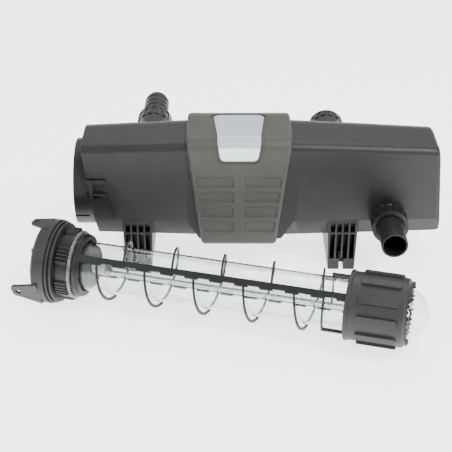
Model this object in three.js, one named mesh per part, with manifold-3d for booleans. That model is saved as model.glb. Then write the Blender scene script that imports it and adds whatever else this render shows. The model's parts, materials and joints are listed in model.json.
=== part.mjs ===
// Pond UV clarifier: a two-shell water housing standing on ribbed feet, with its lamp unit
// drawn out and laid on the ground in front of it. Millimetres, +Z up, +X along the housing
// towards its closed end, +Y towards its back.
import * as THREE from "three";
import { mergeVertices } from "three/addons/utils/BufferGeometryUtils.js";
import Module from "manifold-3d";

const wasm = await Module();
wasm.setup();

// Clearances and fineness
const gap = 0.3; // between touching pieces
const runningGap = 1.2; // round what turns on the glass
const reach = 400; // longer than anything that a cut has to pass through
const roundSides = 32;
const portSides = 22;
const arcStep = 11; // longest straight on a filleted outline

// Housing: a tapered box section with a bevelled belly, smaller towards both ends
const shell = {
  depth: 140,
  height: 165,
  floorGap: 53,
  bevelHeight: 32,
  bevelInset: 15,
  runoutTop: 81,
  runoutFoot: 62,
  frontRound: 14,
  backRound: 65,
  edgeRound: 0.5,
  footRound: 3,
  wall: 4,
  leftLength: 237,
  rightLength: 300,
  rightLean: 0.07,
  taper: 0.00042,
  endSlant: 7.3,
  endRound: 9,
};
const seam = { width: 3, gasketInset: 0.6 };
const chamber = { frontOffset: 70, height: 120 }; // the axis on which the lamp unit fits
const taperCentre = { frontOffset: 40, height: 120 };

// Socket for the lamp head at the housing's open end
const collar = {
  radius: 66,
  wall: 4.2,
  rise: 13.5,
  slotWidth: 4.5,
  slotLength: 22,
  slotAngle: 26,
};
const latch = {
  armHeight: 7,
  armPitch: 23,
  length: 31,
  ridgeWidth: 6,
  thickness: 3.4,
  ridgeRise: 1.6,
  endOffset: 6,
  height: 142,
  pocketDepth: 1.6,
};

// Saddle cover over the seam, with its badge plate and sunk panels
const saddle = {
  offset: -2.3,
  topHalfWidth: 78.5,
  bottomHalfWidth: 57,
  rise: 6,
  drop: 3,
  fit: 0.5,
  underHook: 24,
  cornerRound: 9,
};
const panel = { rows: 4, rowHeight: 16.5, rowPitch: 25.2, topRow: 156, margin: 8, spine: 18, depth: 1.5 };
const badge = {
  backHalfWidth: 39,
  bendHalfWidth: 32,
  endHalfWidth: 27.5,
  frontDrop: 33,
  topRun: 84,
  recess: 2,
  rise: 0.5,
  fit: 0.4,
  cornerRound: 8,
  backRound: 11,
};

// Feet
const foot = {
  offset: 156,
  topWidth: 46,
  baseWidth: 41,
  baseHeight: 19,
  ribPitch: 10,
  ribWidth: 3,
  pocketDepth: 30,
  shelfHeight: 62.5,
  shelfThickness: 3,
  slotWidth: 6.8,
  slotLength: 22,
  cellLength: 27,
  cellWidth: 32,
  cellHeight: 42,
  midRib: 9,
};

// Pipe unions, measured outwards from the housing's widest section
const union = {
  bore: 18,
  neckRadius: 23.5,
  shoulder: 2.5,
  shoulderFit: 1.5,
  threadFit: 0.5,
  nutWall: 3.6,
  gripDepth: 1.4,
  gripCount: 14,
  tailFlange: 4,
  tailBore: 16.5,
  tailRoot: 20.2,
  lipThickness: 3.6,
  lipFit: 0.4,
  sealThickness: 2.5,
  rimWidth: 4,
};
const frontPort = { x: 223, height: 93, neckLength: 20, nutLength: 24, tailLength: 52, mouthRadius: 19.5 };
const inletPort = { x: -136, height: 170, neckLength: 31, nutLength: 28, tailLength: 74, mouthRadius: 19.8 };
const sparePort = { x: 137, height: 170, neckLength: 12, nutLength: 16 };
const inletStep = { count: 3, rise: 1.6, length: 15 };
const plug = { faceRise: 2.5, faceRadius: 16 };

// Lamp unit: distances run along its axis from the back face of its head
const unit = { x: -284.7, frontOffset: -70.8, axisHeight: 62.5, yaw: 15.3 };
const head = {
  flangeRadius: 62,
  flangeLength: 18.5,
  bandRadius: 60.5,
  noseRadius: 58.5,
  ringLength: 3,
  grooveLength: 2.5,
  grooveRadius: 54.6,
  sealRadius: 57.5,
  sealLength: 2,
  spigotRadius: 46,
  spigotEnd: 48.4,
  cavityRadius: 49,
  cavityDepth: 11,
  bulkhead: 5,
};
const cover = { radius: 55.5, thickness: 3, dome: 5 };
const coverScrew = { count: 4, ring: 51.8, headRadius: 3.3, headHeight: 2.4, shankRadius: 1.6, length: 12, fit: 0.3 };
const lowerLug = { angle: 114, length: 34, tipWidth: 21, rootWidth: 48, hole: 4.2, thickness: 4 };
const upperLug = { angle: -3, length: 19, tipWidth: 15, rootWidth: 34, hole: 3.2, thickness: 4 };
const clamp = { start: 31.5, length: 17.6, radius: 53.5, stepRadius: 49, fit: 0.6, pads: 6, ribs: 5, ribDepth: 1.8 };
const glassSeal = { length: 4.4, radius: 50 };
const sleeve = { radius: 36, wall: 2, start: 20, end: 563 };
const holder = { fit: 3, start: 24, end: 76, slotWidth: 7, slotLength: 34, slotDepth: 5 };
const lamp = { tubeRadius: 8, spacing: 20, baseLength: 20, baseWidth: 38, baseDepth: 19, end: 532, bridgeRadius: 4 };
const board = { length: 70, width: 42, thickness: 1.6, choke: 24, chokeHeight: 7 };

// Cleaning rotor that turns round the glass sleeve
const endRing = { start: 54, length: 11, radius: 46 };
const bar = { innerRadius: 39.2, thickness: 5.4, width: 11, notchLength: 17, notchDepth: 2.6, angle: 45 };
const rib = { inner: 41, height: 4.4, width: 2.6, count: 5, start: 91.5, pitch: 71.5, advance: 40, seat: 3 };
const link = { start: 419, sweep: 75, width: 4 };
const turbine = {
  start: 448,
  length: 84,
  radius: 48,
  wall: 3,
  lip: 1.5,
  lipWidth: 5,
  finCount: 11,
  finStart: 18,
  finLength: 55,
  finRise: 4,
  finWidth: 11,
  hubInner: 38,
  teeth: 36,
  toothDepth: 3.4,
  toothWall: 2.6,
  mouthRadius: 41.6,
};

// ---------- solids ----------

function solidFrom(geometry, matrix) {
  const bare = geometry.clone();
  bare.deleteAttribute("normal");
  bare.deleteAttribute("uv");
  if (matrix) bare.applyMatrix4(matrix);
  const merged = mergeVertices(bare, 1e-4);
  const corners = merged.index.array;
  const triangles = [];
  for (let i = 0; i < corners.length; i += 3) {
    const [a, b, c] = corners.slice(i, i + 3);
    if (a !== b && b !== c && c !== a) triangles.push(a, b, c);
  }
  const mesh = new wasm.Mesh({
    numProp: 3,
    vertProperties: Float32Array.from(merged.attributes.position.array),
    triVerts: Uint32Array.from(triangles),
  });
  return new wasm.Manifold(mesh);
}

function join(...solids) {
  return solids.reduce((whole, solid) => whole.add(solid));
}

function cut(solid, ...tools) {
  return tools.reduce((rest, tool) => rest.subtract(tool), solid);
}

function addPiece(group, name, solid, material) {
  const { vertProperties, triVerts } = solid.getMesh();
  const geometry = new THREE.BufferGeometry();
  geometry.setAttribute("position", new THREE.Float32BufferAttribute(vertProperties, 3));
  geometry.setIndex(new THREE.Uint32BufferAttribute(triVerts, 1));
  geometry.computeVertexNormals();
  const mesh = new THREE.Mesh(geometry, material.clone());
  mesh.name = name;
  group.add(mesh);
}

// ---------- shapes ----------

const degrees = THREE.MathUtils.degToRad;
const planeToYZ = new THREE.Matrix4().set(0, 0, 1, 0, 1, 0, 0, 0, 0, 1, 0, 0, 0, 0, 0, 1);

function move(x, y, z) {
  return new THREE.Matrix4().makeTranslation(x, y, z);
}

function turnX(angle) {
  return new THREE.Matrix4().makeRotationX(degrees(angle));
}

function turnZ(angle) {
  return new THREE.Matrix4().makeRotationZ(degrees(angle));
}

function box(x0, x1, y0, y1, z0, z1, matrix) {
  const geometry = new THREE.BoxGeometry(x1 - x0, y1 - y0, z1 - z0);
  geometry.translate((x0 + x1) / 2, (y0 + y1) / 2, (z0 + z1) / 2);
  return solidFrom(geometry, matrix);
}

// Closed convex outline with its corners filleted, all of it moved outwards by an offset.
// Corners are [across, up, radius] and run anticlockwise.
function outline(corners, offset = 0) {
  const count = corners.length;
  const edges = corners.map(([a, b], i) => {
    const [nextA, nextB] = corners[(i + 1) % count];
    const length = Math.hypot(nextA - a, nextB - b);
    const normal = [(nextB - b) / length, (a - nextA) / length];
    return { normal, level: normal[0] * a + normal[1] * b + offset };
  });
  const points = [];
  corners.forEach(([, , round], i) => {
    const { normal: n1, level: level1 } = edges[(i + count - 1) % count];
    const { normal: n2, level: level2 } = edges[i];
    const radius = Math.max(round + offset, 0.4);
    const spread = n1[0] * n2[1] - n1[1] * n2[0];
    const centreA = ((level1 - radius) * n2[1] - (level2 - radius) * n1[1]) / spread;
    const centreB = ((level2 - radius) * n1[0] - (level1 - radius) * n2[0]) / spread;
    const first = Math.atan2(n1[1], n1[0]);
    const sweep = Math.asin(Math.min(1, spread)) || 0;
    const turn = n1[0] * n2[0] + n1[1] * n2[1] < 0 ? Math.PI - sweep : sweep;
    const steps = Math.max(2, Math.ceil((turn * radius) / arcStep));
    for (let k = 0; k <= steps; k++) {
      const angle = first + (turn * k) / steps;
      points.push(new THREE.Vector2(centreA + radius * Math.cos(angle), centreB + radius * Math.sin(angle)));
    }
  });
  return new THREE.Shape(points);
}

function extruded(shape, length) {
  return new THREE.ExtrudeGeometry(shape, { depth: length, bevelEnabled: false, curveSegments: 8 });
}

function alongX(shape, x0, x1, matrix = new THREE.Matrix4()) {
  return solidFrom(extruded(shape, x1 - x0), matrix.clone().multiply(move(x0, 0, 0)).multiply(planeToYZ));
}

function alongY(shape, y0, y1, matrix = new THREE.Matrix4()) {
  return solidFrom(extruded(shape, y1 - y0), matrix.clone().multiply(move(0, y1, 0)).multiply(turnX(90)));
}

function alongZ(shape, z0, z1, matrix = new THREE.Matrix4()) {
  return solidFrom(extruded(shape, z1 - z0), matrix.clone().multiply(move(0, 0, z0)));
}

// Solid of revolution. The profile is [along, radius] and keeps the material on its left
// as it runs outwards, along and back in.
function turned(profile, sides, matrix) {
  const points = profile.map(([along, radius]) => new THREE.Vector2(radius, along));
  return solidFrom(new THREE.LatheGeometry(points, sides), matrix);
}

function ringProfile(start, end, inner, outer) {
  return [[start, inner], [start, outer], [end, outer], [end, inner], [start, inner]];
}

function rodProfile(start, end, radius) {
  return [[start, 0], [start, radius], [end, radius], [end, 0]];
}

const ontoX = turnZ(-90);

function turnedX(profile, sides = roundSides) {
  return turned(profile, sides, ontoX);
}

function circle(radius, sides, points = []) {
  for (let i = 0; i < sides; i++) {
    const angle = (2 * Math.PI * i) / sides;
    points.push(new THREE.Vector2(radius * Math.cos(angle), radius * Math.sin(angle)));
  }
  return points;
}

// ---------- housing section ----------

const back = shell.depth;
const top = shell.floorGap + shell.height;
const crease = shell.floorGap + shell.bevelHeight;
const upperCorners = [
  [back - shell.bevelInset, shell.floorGap, shell.edgeRound],
  [back, crease, shell.edgeRound],
  [back, top, shell.backRound],
  [0, top, shell.frontRound],
];
const section = [
  [shell.bevelInset, shell.floorGap, shell.edgeRound],
  ...upperCorners,
  [0, crease, shell.edgeRound],
];
const squareSection = [[0, shell.floorGap, shell.footRound], ...upperCorners];

function scaleAt(x) {
  return 1 - shell.taper * Math.abs(x);
}

function frontAt(x) {
  return taperCentre.frontOffset * (1 - scaleAt(x));
}

// The housing section swept through stations {x, scale} along its length.
function sweptBody(offset, stations, corners = section) {
  const steps = stations.length - 1;
  const options = { depth: steps, steps, bevelEnabled: false };
  const geometry = new THREE.ExtrudeGeometry(outline(corners, offset), options);
  geometry.applyMatrix4(planeToYZ);
  const place = geometry.attributes.position;
  for (let i = 0; i < place.count; i++) {
    const station = stations[Math.round(place.getX(i))];
    const y = taperCentre.frontOffset + (place.getY(i) - taperCentre.frontOffset) * station.scale;
    const z = taperCentre.height + (place.getZ(i) - taperCentre.height) * station.scale;
    const x = station.x + (station.lean ?? 0) * (taperCentre.height - z);
    place.setXYZ(i, x, y, z);
  }
  return solidFrom(geometry);
}

function taperedBody(offset, x0, x1, corners = section) {
  const places = x0 < 0 && x1 > 0 ? [x0, 0, x1] : [x0, x1];
  return sweptBody(offset, places.map((x) => ({ x, scale: scaleAt(x) })), corners);
}

// Wedge under the front bevel, which runs out on a slant beside the saddle.
function bellyWedge(side) {
  const lowest = shell.floorGap - 25;
  const depth = (shell.bevelInset * (crease - lowest)) / shell.bevelHeight;
  const corners = [[0, crease], [-30, crease], [-30, lowest], [depth, lowest]];
  const shape = new THREE.Shape(corners.map(([y, z]) => new THREE.Vector2(y, z)));
  const geometry = new THREE.ExtrudeGeometry(shape, { depth: 1, steps: 1, bevelEnabled: false });
  geometry.applyMatrix4(planeToYZ);
  const near = side * shell.runoutTop;
  const far = side < 0 ? -shell.leftLength - 60 : shell.rightLength + 60;
  const lean = (side * (shell.runoutFoot - shell.runoutTop)) / shell.bevelHeight;
  const place = geometry.attributes.position;
  for (let i = 0; i < place.count; i++) {
    const isFar = side > 0 ? place.getX(i) > 0.5 : place.getX(i) < 0.5;
    const scale = scaleAt(isFar ? far : near);
    const x = isFar ? far : near + lean * (crease - place.getZ(i));
    const y = taperCentre.frontOffset + (place.getY(i) - taperCentre.frontOffset) * scale;
    const z = taperCentre.height + (place.getZ(i) - taperCentre.height) * scale;
    place.setXYZ(i, x, y, z);
  }
  return solidFrom(geometry);
}

// Everything beyond the slanted plane of the open end, moved inwards by an inset.
function beyondOpenEnd(inset) {
  const slant = new THREE.Matrix4().makeRotationY(degrees(-shell.endSlant));
  const place = move(inset - shell.leftLength, 0, top).multiply(slant);
  return box(-reach, 0, -reach, reach, -reach, reach, place);
}

function onChamberAxis() {
  return move(0, chamber.frontOffset, chamber.height).multiply(ontoX);
}

// ---------- pipe necks ----------

function portMatrix(port, facesFront) {
  const place = move(port.x, facesFront ? 0 : back, port.height);
  return facesFront ? place.multiply(turnZ(180)) : place;
}

function neck(port, matrix) {
  const root = -shell.depth / 3;
  const shoulder = union.neckRadius + union.shoulder;
  const shoulderEnd = unionPlaces(port).nutStart - union.shoulderFit;
  const profile = [
    [root, 0],
    [root, shoulder],
    [shoulderEnd, shoulder],
    [shoulderEnd, union.neckRadius],
    [port.neckLength, union.neckRadius],
    [port.neckLength, 0],
  ];
  return turned(profile, portSides, matrix);
}

function neckBore(port, matrix) {
  return turned(rodProfile(-shell.depth / 2, port.neckLength + 1, union.bore), portSides, matrix);
}

// ---------- shells ----------

function leftShell() {
  const x1 = -seam.width / 2;
  const matrix = portMatrix(inletPort, false);
  const collarInner = collar.radius - collar.wall;
  const rim = -shell.leftLength - collar.rise;
  const collarEnd = -shell.leftLength + 3 * collar.rise;
  const collarBody = turned(
    [
      [rim, 0],
      [rim, collar.radius - 1],
      [rim + 1, collar.radius],
      [collarEnd, collar.radius],
      [collarEnd, 0],
    ],
    roundSides,
    onChamberAxis(),
  );
  const body = cut(
    taperedBody(0, -shell.leftLength - 30, x1, squareSection),
    beyondOpenEnd(0),
    bellyWedge(-1),
  );
  const water = cut(taperedBody(-shell.wall, -shell.leftLength - 30, 1), beyondOpenEnd(shell.wall));
  const bore = turned(rodProfile(rim - 1, collarEnd - collar.wall, collarInner), roundSides, onChamberAxis());
  const slotTurn = move(0, chamber.frontOffset, chamber.height).multiply(turnX(collar.slotAngle));
  const slot = box(
    rim - 1,
    rim + collar.slotLength,
    -collar.radius - 10,
    -collarInner + 6,
    -collar.slotWidth / 2,
    collar.slotWidth / 2,
    slotTurn,
  );
  const latchX = latchStart();
  const surface = frontAt(latchX + latch.length);
  const pocket = box(
    latchX + latch.ridgeWidth + 5,
    latchX + latch.length - 6,
    -10,
    surface + latch.pocketDepth,
    latch.height - latch.armPitch / 2 + latch.armHeight / 2 + 1,
    latch.height + latch.armPitch / 2 - latch.armHeight / 2 - 1,
  );
  return cut(join(body, collarBody, neck(inletPort, matrix)), water, bore, neckBore(inletPort, matrix), slot, pocket);
}

function rightShell() {
  const x0 = seam.width / 2;
  const end = shell.rightLength;
  const round = shell.endRound;
  const endScale = scaleAt(end);
  const half = shell.height / 2;
  const stations = [{ x: x0, scale: scaleAt(x0) }];
  for (const angle of [0, 30, 60, 85]) {
    const bend = degrees(angle);
    const shrink = (round * (1 - Math.cos(bend))) / half;
    stations.push({ x: end - round + round * Math.sin(bend), scale: endScale - shrink, lean: shell.rightLean });
  }
  const body = cut(sweptBody(0, stations, squareSection), bellyWedge(1));
  const water = sweptBody(-shell.wall, [
    { x: -1, scale: scaleAt(0) },
    { x: end - shell.wall, scale: scaleAt(end), lean: shell.rightLean },
  ]);
  const front = portMatrix(frontPort, true);
  const spare = portMatrix(sparePort, false);
  return cut(
    join(body, neck(frontPort, front), neck(sparePort, spare)),
    water,
    neckBore(frontPort, front),
    neckBore(sparePort, spare),
  );
}

function seamGasket() {
  const half = seam.width / 2 - gap;
  const outer = alongX(outline(section, -seam.gasketInset), -half, half);
  return cut(outer, alongX(outline(section, seam.gasketInset - shell.wall), -half - 1, half + 1));
}

// ---------- latch ----------

function latchStart() {
  return -shell.leftLength + latch.endOffset;
}

function latchBackY() {
  return frontAt(latchStart() + latch.length) - 0.6;
}

// Two arms with round tips, joined by an upright finger ridge.
function headLatch() {
  const x0 = latchStart();
  const x1 = x0 + latch.length;
  const yBack = latchBackY();
  const yFront = yBack - latch.thickness;
  const parts = [-1, 1].map((side) => {
    const z = latch.height + (side * latch.armPitch) / 2;
    const half = latch.armHeight / 2;
    const arm = outline([[x0, z - half, 1], [x1, z - half, half - 0.1], [x1, z + half, half - 0.1], [x0, z + half, 1]]);
    return alongY(arm, yFront, yBack);
  });
  const reachZ = latch.armPitch / 2 + latch.armHeight / 2 - 0.5;
  const ridge = box(
    x0 + 5,
    x0 + 5 + latch.ridgeWidth,
    yFront - latch.ridgeRise,
    yBack,
    latch.height - reachZ,
    latch.height + reachZ,
  );
  return join(ridge, ...parts);
}

// ---------- saddle and badge ----------

const saddleInner = saddle.fit;
const saddleOuter = saddle.fit + saddle.rise;
const saddleTop = top + saddleOuter;
const saddleBottom = shell.floorGap - saddle.drop;

function bandSolid(offset) {
  return alongX(outline(squareSection, offset), -saddle.topHalfWidth - 20, saddle.topHalfWidth + 20);
}

function saddleHalfWidthAt(z) {
  const share = (z - saddleBottom) / (saddleTop - saddleBottom);
  return saddle.bottomHalfWidth + share * (saddle.topHalfWidth - saddle.bottomHalfWidth);
}

function panelCells() {
  const cells = [];
  for (let row = 0; row < panel.rows; row++) {
    const middle = panel.topRow - row * panel.rowPitch;
    const low = middle - panel.rowHeight / 2;
    const high = middle + panel.rowHeight / 2;
    const outerLow = saddleHalfWidthAt(low) - panel.margin;
    const outerHigh = saddleHalfWidthAt(high) - panel.margin;
    const inner = panel.spine / 2;
    const cell = [[inner, low, 1.5], [outerLow, low, 1.5], [outerHigh, high, 1.5], [inner, high, 1.5]];
    const mirrored = cell.map(([x, z, r]) => [-x, z, r]).reverse();
    cells.push(alongY(outline(cell), -reach, chamber.frontOffset));
    cells.push(alongY(outline(mirrored), -reach, chamber.frontOffset));
  }
  return join(...cells);
}

// Plan and front outlines of the badge, which bends over the top front edge.
function badgeRegion(margin) {
  const yFront = -saddleOuter - 5;
  const plan = [
    [-badge.bendHalfWidth, yFront, 0.5],
    [badge.bendHalfWidth, yFront, 0.5],
    [badge.backHalfWidth, badge.topRun, badge.backRound],
    [-badge.backHalfWidth, badge.topRun, badge.backRound],
  ];
  const bottom = saddleTop - badge.frontDrop;
  const face = [
    [-badge.endHalfWidth, bottom, badge.cornerRound],
    [badge.endHalfWidth, bottom, badge.cornerRound],
    [badge.bendHalfWidth, saddleTop - 4, 0.5],
    [badge.backHalfWidth + 3, saddleTop + 9, 0.5],
    [-badge.backHalfWidth - 3, saddleTop + 9, 0.5],
    [-badge.bendHalfWidth, saddleTop - 4, 0.5],
  ];
  const planSolid = alongZ(outline(plan, margin), bottom - 5, saddleTop + 9);
  return planSolid.intersect(alongY(faceOutline(face, margin), -reach, reach));
}

// Only the two lowest corners follow the margin downwards.
function faceOutline(face, margin) {
  const points = face.map(([x, z], i) => new THREE.Vector2(x + Math.sign(x) * margin, z - (i < 2 ? margin : 0)));
  return new THREE.Shape(points);
}

function saddleCover() {
  const front = [
    [-saddle.bottomHalfWidth, saddleBottom, saddle.cornerRound],
    [saddle.bottomHalfWidth, saddleBottom, saddle.cornerRound],
    [saddle.topHalfWidth, saddleTop + 2, 1],
    [-saddle.topHalfWidth, saddleTop + 2, 1],
  ];
  const whole = bandSolid(saddleOuter).intersect(alongY(outline(front), -reach, reach));
  const opening = box(-reach, reach, saddle.underHook, back - saddle.underHook, -reach, chamber.height);
  const cells = cut(panelCells(), bandSolid(saddleOuter - panel.depth));
  const badgePocket = cut(badgeRegion(0), bandSolid(saddleOuter - badge.recess));
  return cut(whole, bandSolid(saddleInner), opening, cells, badgePocket).translate(saddle.offset, 0, 0);
}

function badgePlate() {
  const layer = cut(bandSolid(saddleOuter + badge.rise), bandSolid(saddleOuter - badge.recess + gap));
  return layer.intersect(badgeRegion(-badge.fit)).translate(saddle.offset, 0, 0);
}

// ---------- feet ----------

function footSolid(side) {
  const x = side * foot.offset;
  const yFront = frontAt(x);
  const yBack = taperCentre.frontOffset + (back - taperCentre.frontOffset) * scaleAt(x);
  const creaseAt = taperCentre.height + (crease - taperCentre.height) * scaleAt(x);
  const profile = [
    [x - foot.baseWidth / 2, 0, 1],
    [x + foot.baseWidth / 2, 0, 1],
    [x + foot.topWidth / 2, creaseAt, 1],
    [x - foot.topWidth / 2, creaseAt, 1],
  ];
  let solid = cut(alongY(outline(profile), yFront, yBack), taperedBody(gap, -shell.leftLength, shell.rightLength));
  const ends = [
    [yFront - 1, yFront + foot.pocketDepth, yFront + foot.slotLength],
    [yBack + 1, yBack - foot.pocketDepth, yBack - foot.slotLength],
  ];
  for (const [face, pocketEnd, slotEnd] of ends) {
    const [y0, y1] = [face, pocketEnd].sort((a, b) => a - b);
    for (const place of [-1.5, -0.5, 0.5, 1.5]) {
      const middle = x + place * foot.ribPitch;
      const half = (foot.ribPitch - foot.ribWidth) / 2;
      const lower = box(middle - half, middle + half, y0, y1, foot.baseHeight, foot.shelfHeight);
      const upperStart = foot.shelfHeight + foot.shelfThickness;
      const upper = box(middle - half, middle + half, y0, y1, upperStart, creaseAt - 4);
      solid = cut(solid, lower, upper);
    }
    const [s0, s1] = [face, slotEnd].sort((a, b) => a - b);
    const halfSlot = foot.slotWidth / 2;
    solid = cut(solid, box(x - halfSlot, x + halfSlot, s0, s1, -1, foot.baseHeight + 1));
  }
  const middleY = shell.depth / 2;
  for (const way of [-1, 1]) {
    const near = middleY + (way * foot.midRib) / 2;
    const far = near + way * foot.cellLength;
    const [y0, y1] = [near, far].sort((a, b) => a - b);
    const half = foot.cellWidth / 2;
    solid = cut(solid, box(x - half, x + half, y0, y1, -1, foot.cellHeight));
  }
  return solid;
}

// ---------- pipe unions ----------

function unionPlaces(port) {
  const sealStart = port.neckLength + gap;
  const sealEnd = sealStart + union.sealThickness;
  const flangeStart = sealEnd + gap;
  const flangeEnd = flangeStart + union.tailFlange;
  const lipStart = flangeEnd + gap;
  const nutEnd = lipStart + union.lipThickness;
  return { sealStart, sealEnd, flangeStart, flangeEnd, lipStart, nutEnd, nutStart: nutEnd - port.nutLength };
}

function unionSeal(port) {
  const { sealStart, sealEnd } = unionPlaces(port);
  return turned(ringProfile(sealStart, sealEnd, union.bore + gap, union.neckRadius - gap), portSides);
}

const nutBore = union.neckRadius + union.threadFit;
const nutRadius = nutBore + union.nutWall;

function fluted(radius, depth, count) {
  const points = [];
  for (let i = 0; i < count; i++) {
    const steps = [[0.08, radius - depth], [0.22, radius], [0.7, radius], [0.84, radius - depth]];
    for (const [share, r] of steps) {
      const angle = (2 * Math.PI * (i + share)) / count;
      points.push(new THREE.Vector2(r * Math.cos(angle), r * Math.sin(angle)));
    }
  }
  return new THREE.Shape(points);
}

function unionNut(port, mouthRadius, radius) {
  const { nutStart, nutEnd, lipStart } = unionPlaces(port);
  const grip = alongY(fluted(radius, union.gripDepth, union.gripCount), nutStart, nutEnd - union.rimWidth);
  const rim = turned(rodProfile(nutEnd - union.rimWidth - 0.5, nutEnd, radius), portSides);
  const bore = turned(rodProfile(nutStart - 1, lipStart, nutBore), portSides);
  const mouth = turned(rodProfile(lipStart - 1, nutEnd + 1, mouthRadius), portSides);
  return cut(join(grip, rim), bore, mouth);
}

function frontTail() {
  const { flangeStart, flangeEnd, nutEnd } = unionPlaces(frontPort);
  const end = nutEnd + frontPort.tailLength;
  const profile = [
    [flangeStart, union.tailBore],
    [flangeStart, union.neckRadius - gap],
    [flangeEnd, union.neckRadius - gap],
    [flangeEnd, union.tailRoot],
    [nutEnd + 6, union.tailRoot],
    [end - 1, frontPort.mouthRadius],
    [end, frontPort.mouthRadius - 1],
    [end, union.tailBore],
    [flangeStart, union.tailBore],
  ];
  return turned(profile, portSides);
}

// Hose tail with ringed steps that grow smaller towards its mouth.
function inletTail() {
  const { flangeStart, flangeEnd, nutEnd } = unionPlaces(inletPort);
  const end = nutEnd + inletPort.tailLength;
  const profile = [
    [flangeStart, union.tailBore],
    [flangeStart, union.neckRadius - gap],
    [flangeEnd, union.neckRadius - gap],
    [flangeEnd, union.tailRoot],
    [nutEnd + 4, union.tailRoot],
  ];
  for (let i = inletStep.count; i > 0; i--) {
    const stepEnd = end - (i - 1) * inletStep.length - 3;
    profile.push([stepEnd - inletStep.length + 3, inletPort.mouthRadius - inletStep.rise]);
    profile.push([stepEnd - inletStep.length + 4, inletPort.mouthRadius]);
    profile.push([stepEnd - 3, inletPort.mouthRadius]);
    profile.push([stepEnd, inletPort.mouthRadius - inletStep.rise]);
  }
  profile.push([end, inletPort.mouthRadius - inletStep.rise]);
  profile.push([end, union.tailBore]);
  profile.push([flangeStart, union.tailBore]);
  return turned(profile, portSides);
}

function sparePlug() {
  const { flangeStart, flangeEnd, nutEnd } = unionPlaces(sparePort);
  const profile = [
    [flangeStart, 0],
    [flangeStart, union.neckRadius - gap],
    [flangeEnd, union.neckRadius - gap],
    [flangeEnd, union.tailRoot],
    [nutEnd, union.tailRoot],
    [nutEnd + plug.faceRise, plug.faceRadius],
    [nutEnd + plug.faceRise, 0],
  ];
  return turned(profile, portSides);
}

// ---------- lamp head ----------

const flangeSealEnd = head.flangeLength + head.sealLength;
const bandEnd = flangeSealEnd + head.ringLength;
const grooveEnd = bandEnd + head.grooveLength;
const noseEnd = grooveEnd + head.ringLength;
const tubeBore = sleeve.radius + 0.8;

// A lug lies flat along the rim of the head and points backwards from it.
function lug(size) {
  const root = head.flangeLength / 2;
  const half = size.tipWidth / 2;
  const shape = outline([
    [-size.length, -half, half * 0.7],
    [root, -size.rootWidth / 2, 1],
    [root, size.rootWidth / 2, 1],
    [-size.length, half, half * 0.3],
  ]);
  shape.holes.push(new THREE.Path(circle(size.hole, 12).map((p) => p.add(new THREE.Vector2(-size.length * 0.6, 0)))));
  const high = head.flangeRadius - 0.5;
  return alongZ(shape, high - size.thickness, high, turnX(size.angle));
}

function headBody() {
  const outer = turnedX([
    [0, 0],
    [0, head.flangeRadius - 2],
    [2, head.flangeRadius],
    [head.flangeLength, head.flangeRadius],
    [head.flangeLength, head.sealRadius],
    [flangeSealEnd, head.sealRadius],
    [flangeSealEnd, head.bandRadius],
    [bandEnd, head.bandRadius],
    [bandEnd, head.grooveRadius],
    [grooveEnd, head.grooveRadius],
    [grooveEnd, head.noseRadius],
    [noseEnd - 1, head.noseRadius],
    [noseEnd, head.noseRadius - 1],
    [noseEnd, head.spigotRadius],
    [head.spigotEnd, head.spigotRadius],
    [head.spigotEnd, 0],
  ]);
  const cavity = turnedX(rodProfile(-1, head.cavityDepth, head.cavityRadius));
  const bore = turnedX(rodProfile(head.cavityDepth + head.bulkhead, head.spigotEnd + 1, tubeBore));
  return cut(join(outer, lug(lowerLug), lug(upperLug)), cavity, bore, ...screwHoles());
}

function screwPlaces() {
  const places = [];
  for (let i = 0; i < coverScrew.count; i++) {
    const turn = turnX((360 * (i + 0.5)) / coverScrew.count);
    places.push(turn.multiply(move(0, 0, coverScrew.ring)).multiply(ontoX));
  }
  return places;
}

function screwHoles(sides = 12) {
  const radius = coverScrew.shankRadius + coverScrew.fit;
  const hole = rodProfile(-cover.thickness - 2, coverScrew.length - cover.thickness + 1, radius);
  return screwPlaces().map((place) => turned(hole, sides, place));
}

function headCoverShell() {
  const backFace = -gap - cover.thickness - cover.dome;
  const dished = turnedX([
    [backFace, 0],
    [backFace, cover.radius - 20],
    [-gap - cover.thickness, cover.radius - 10],
    [-gap - cover.thickness, cover.radius],
    [-gap, cover.radius],
    [-gap, cover.radius - 11],
    [backFace + cover.thickness, cover.radius - 21],
    [backFace + cover.thickness, 0],
  ]);
  return cut(dished, ...screwHoles());
}

function coverScrewSolid(place) {
  const seat = -gap - cover.thickness - gap;
  const head = coverScrew.headHeight;
  const profile = [
    [seat - head, 0],
    [seat - head, coverScrew.headRadius - 1],
    [seat - head / 2, coverScrew.headRadius],
    [seat, coverScrew.headRadius],
    [seat, coverScrew.shankRadius],
    [seat + coverScrew.length, coverScrew.shankRadius],
    [seat + coverScrew.length, 0],
  ];
  return turned(profile, 12, place);
}

function flangeSeal() {
  return turnedX(
    ringProfile(head.flangeLength + gap, flangeSealEnd - gap, head.sealRadius + gap, head.bandRadius - 0.4),
  );
}

function headRing() {
  const middle = (bandEnd + grooveEnd) / 2;
  const section = head.grooveLength / 2 - gap + 0.2;
  const centre = head.grooveRadius + gap + section;
  const profile = circle(section, 6).map((p) => [middle + p.y, centre + p.x]);
  profile.push(profile[0]);
  return turnedX(profile);
}

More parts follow.
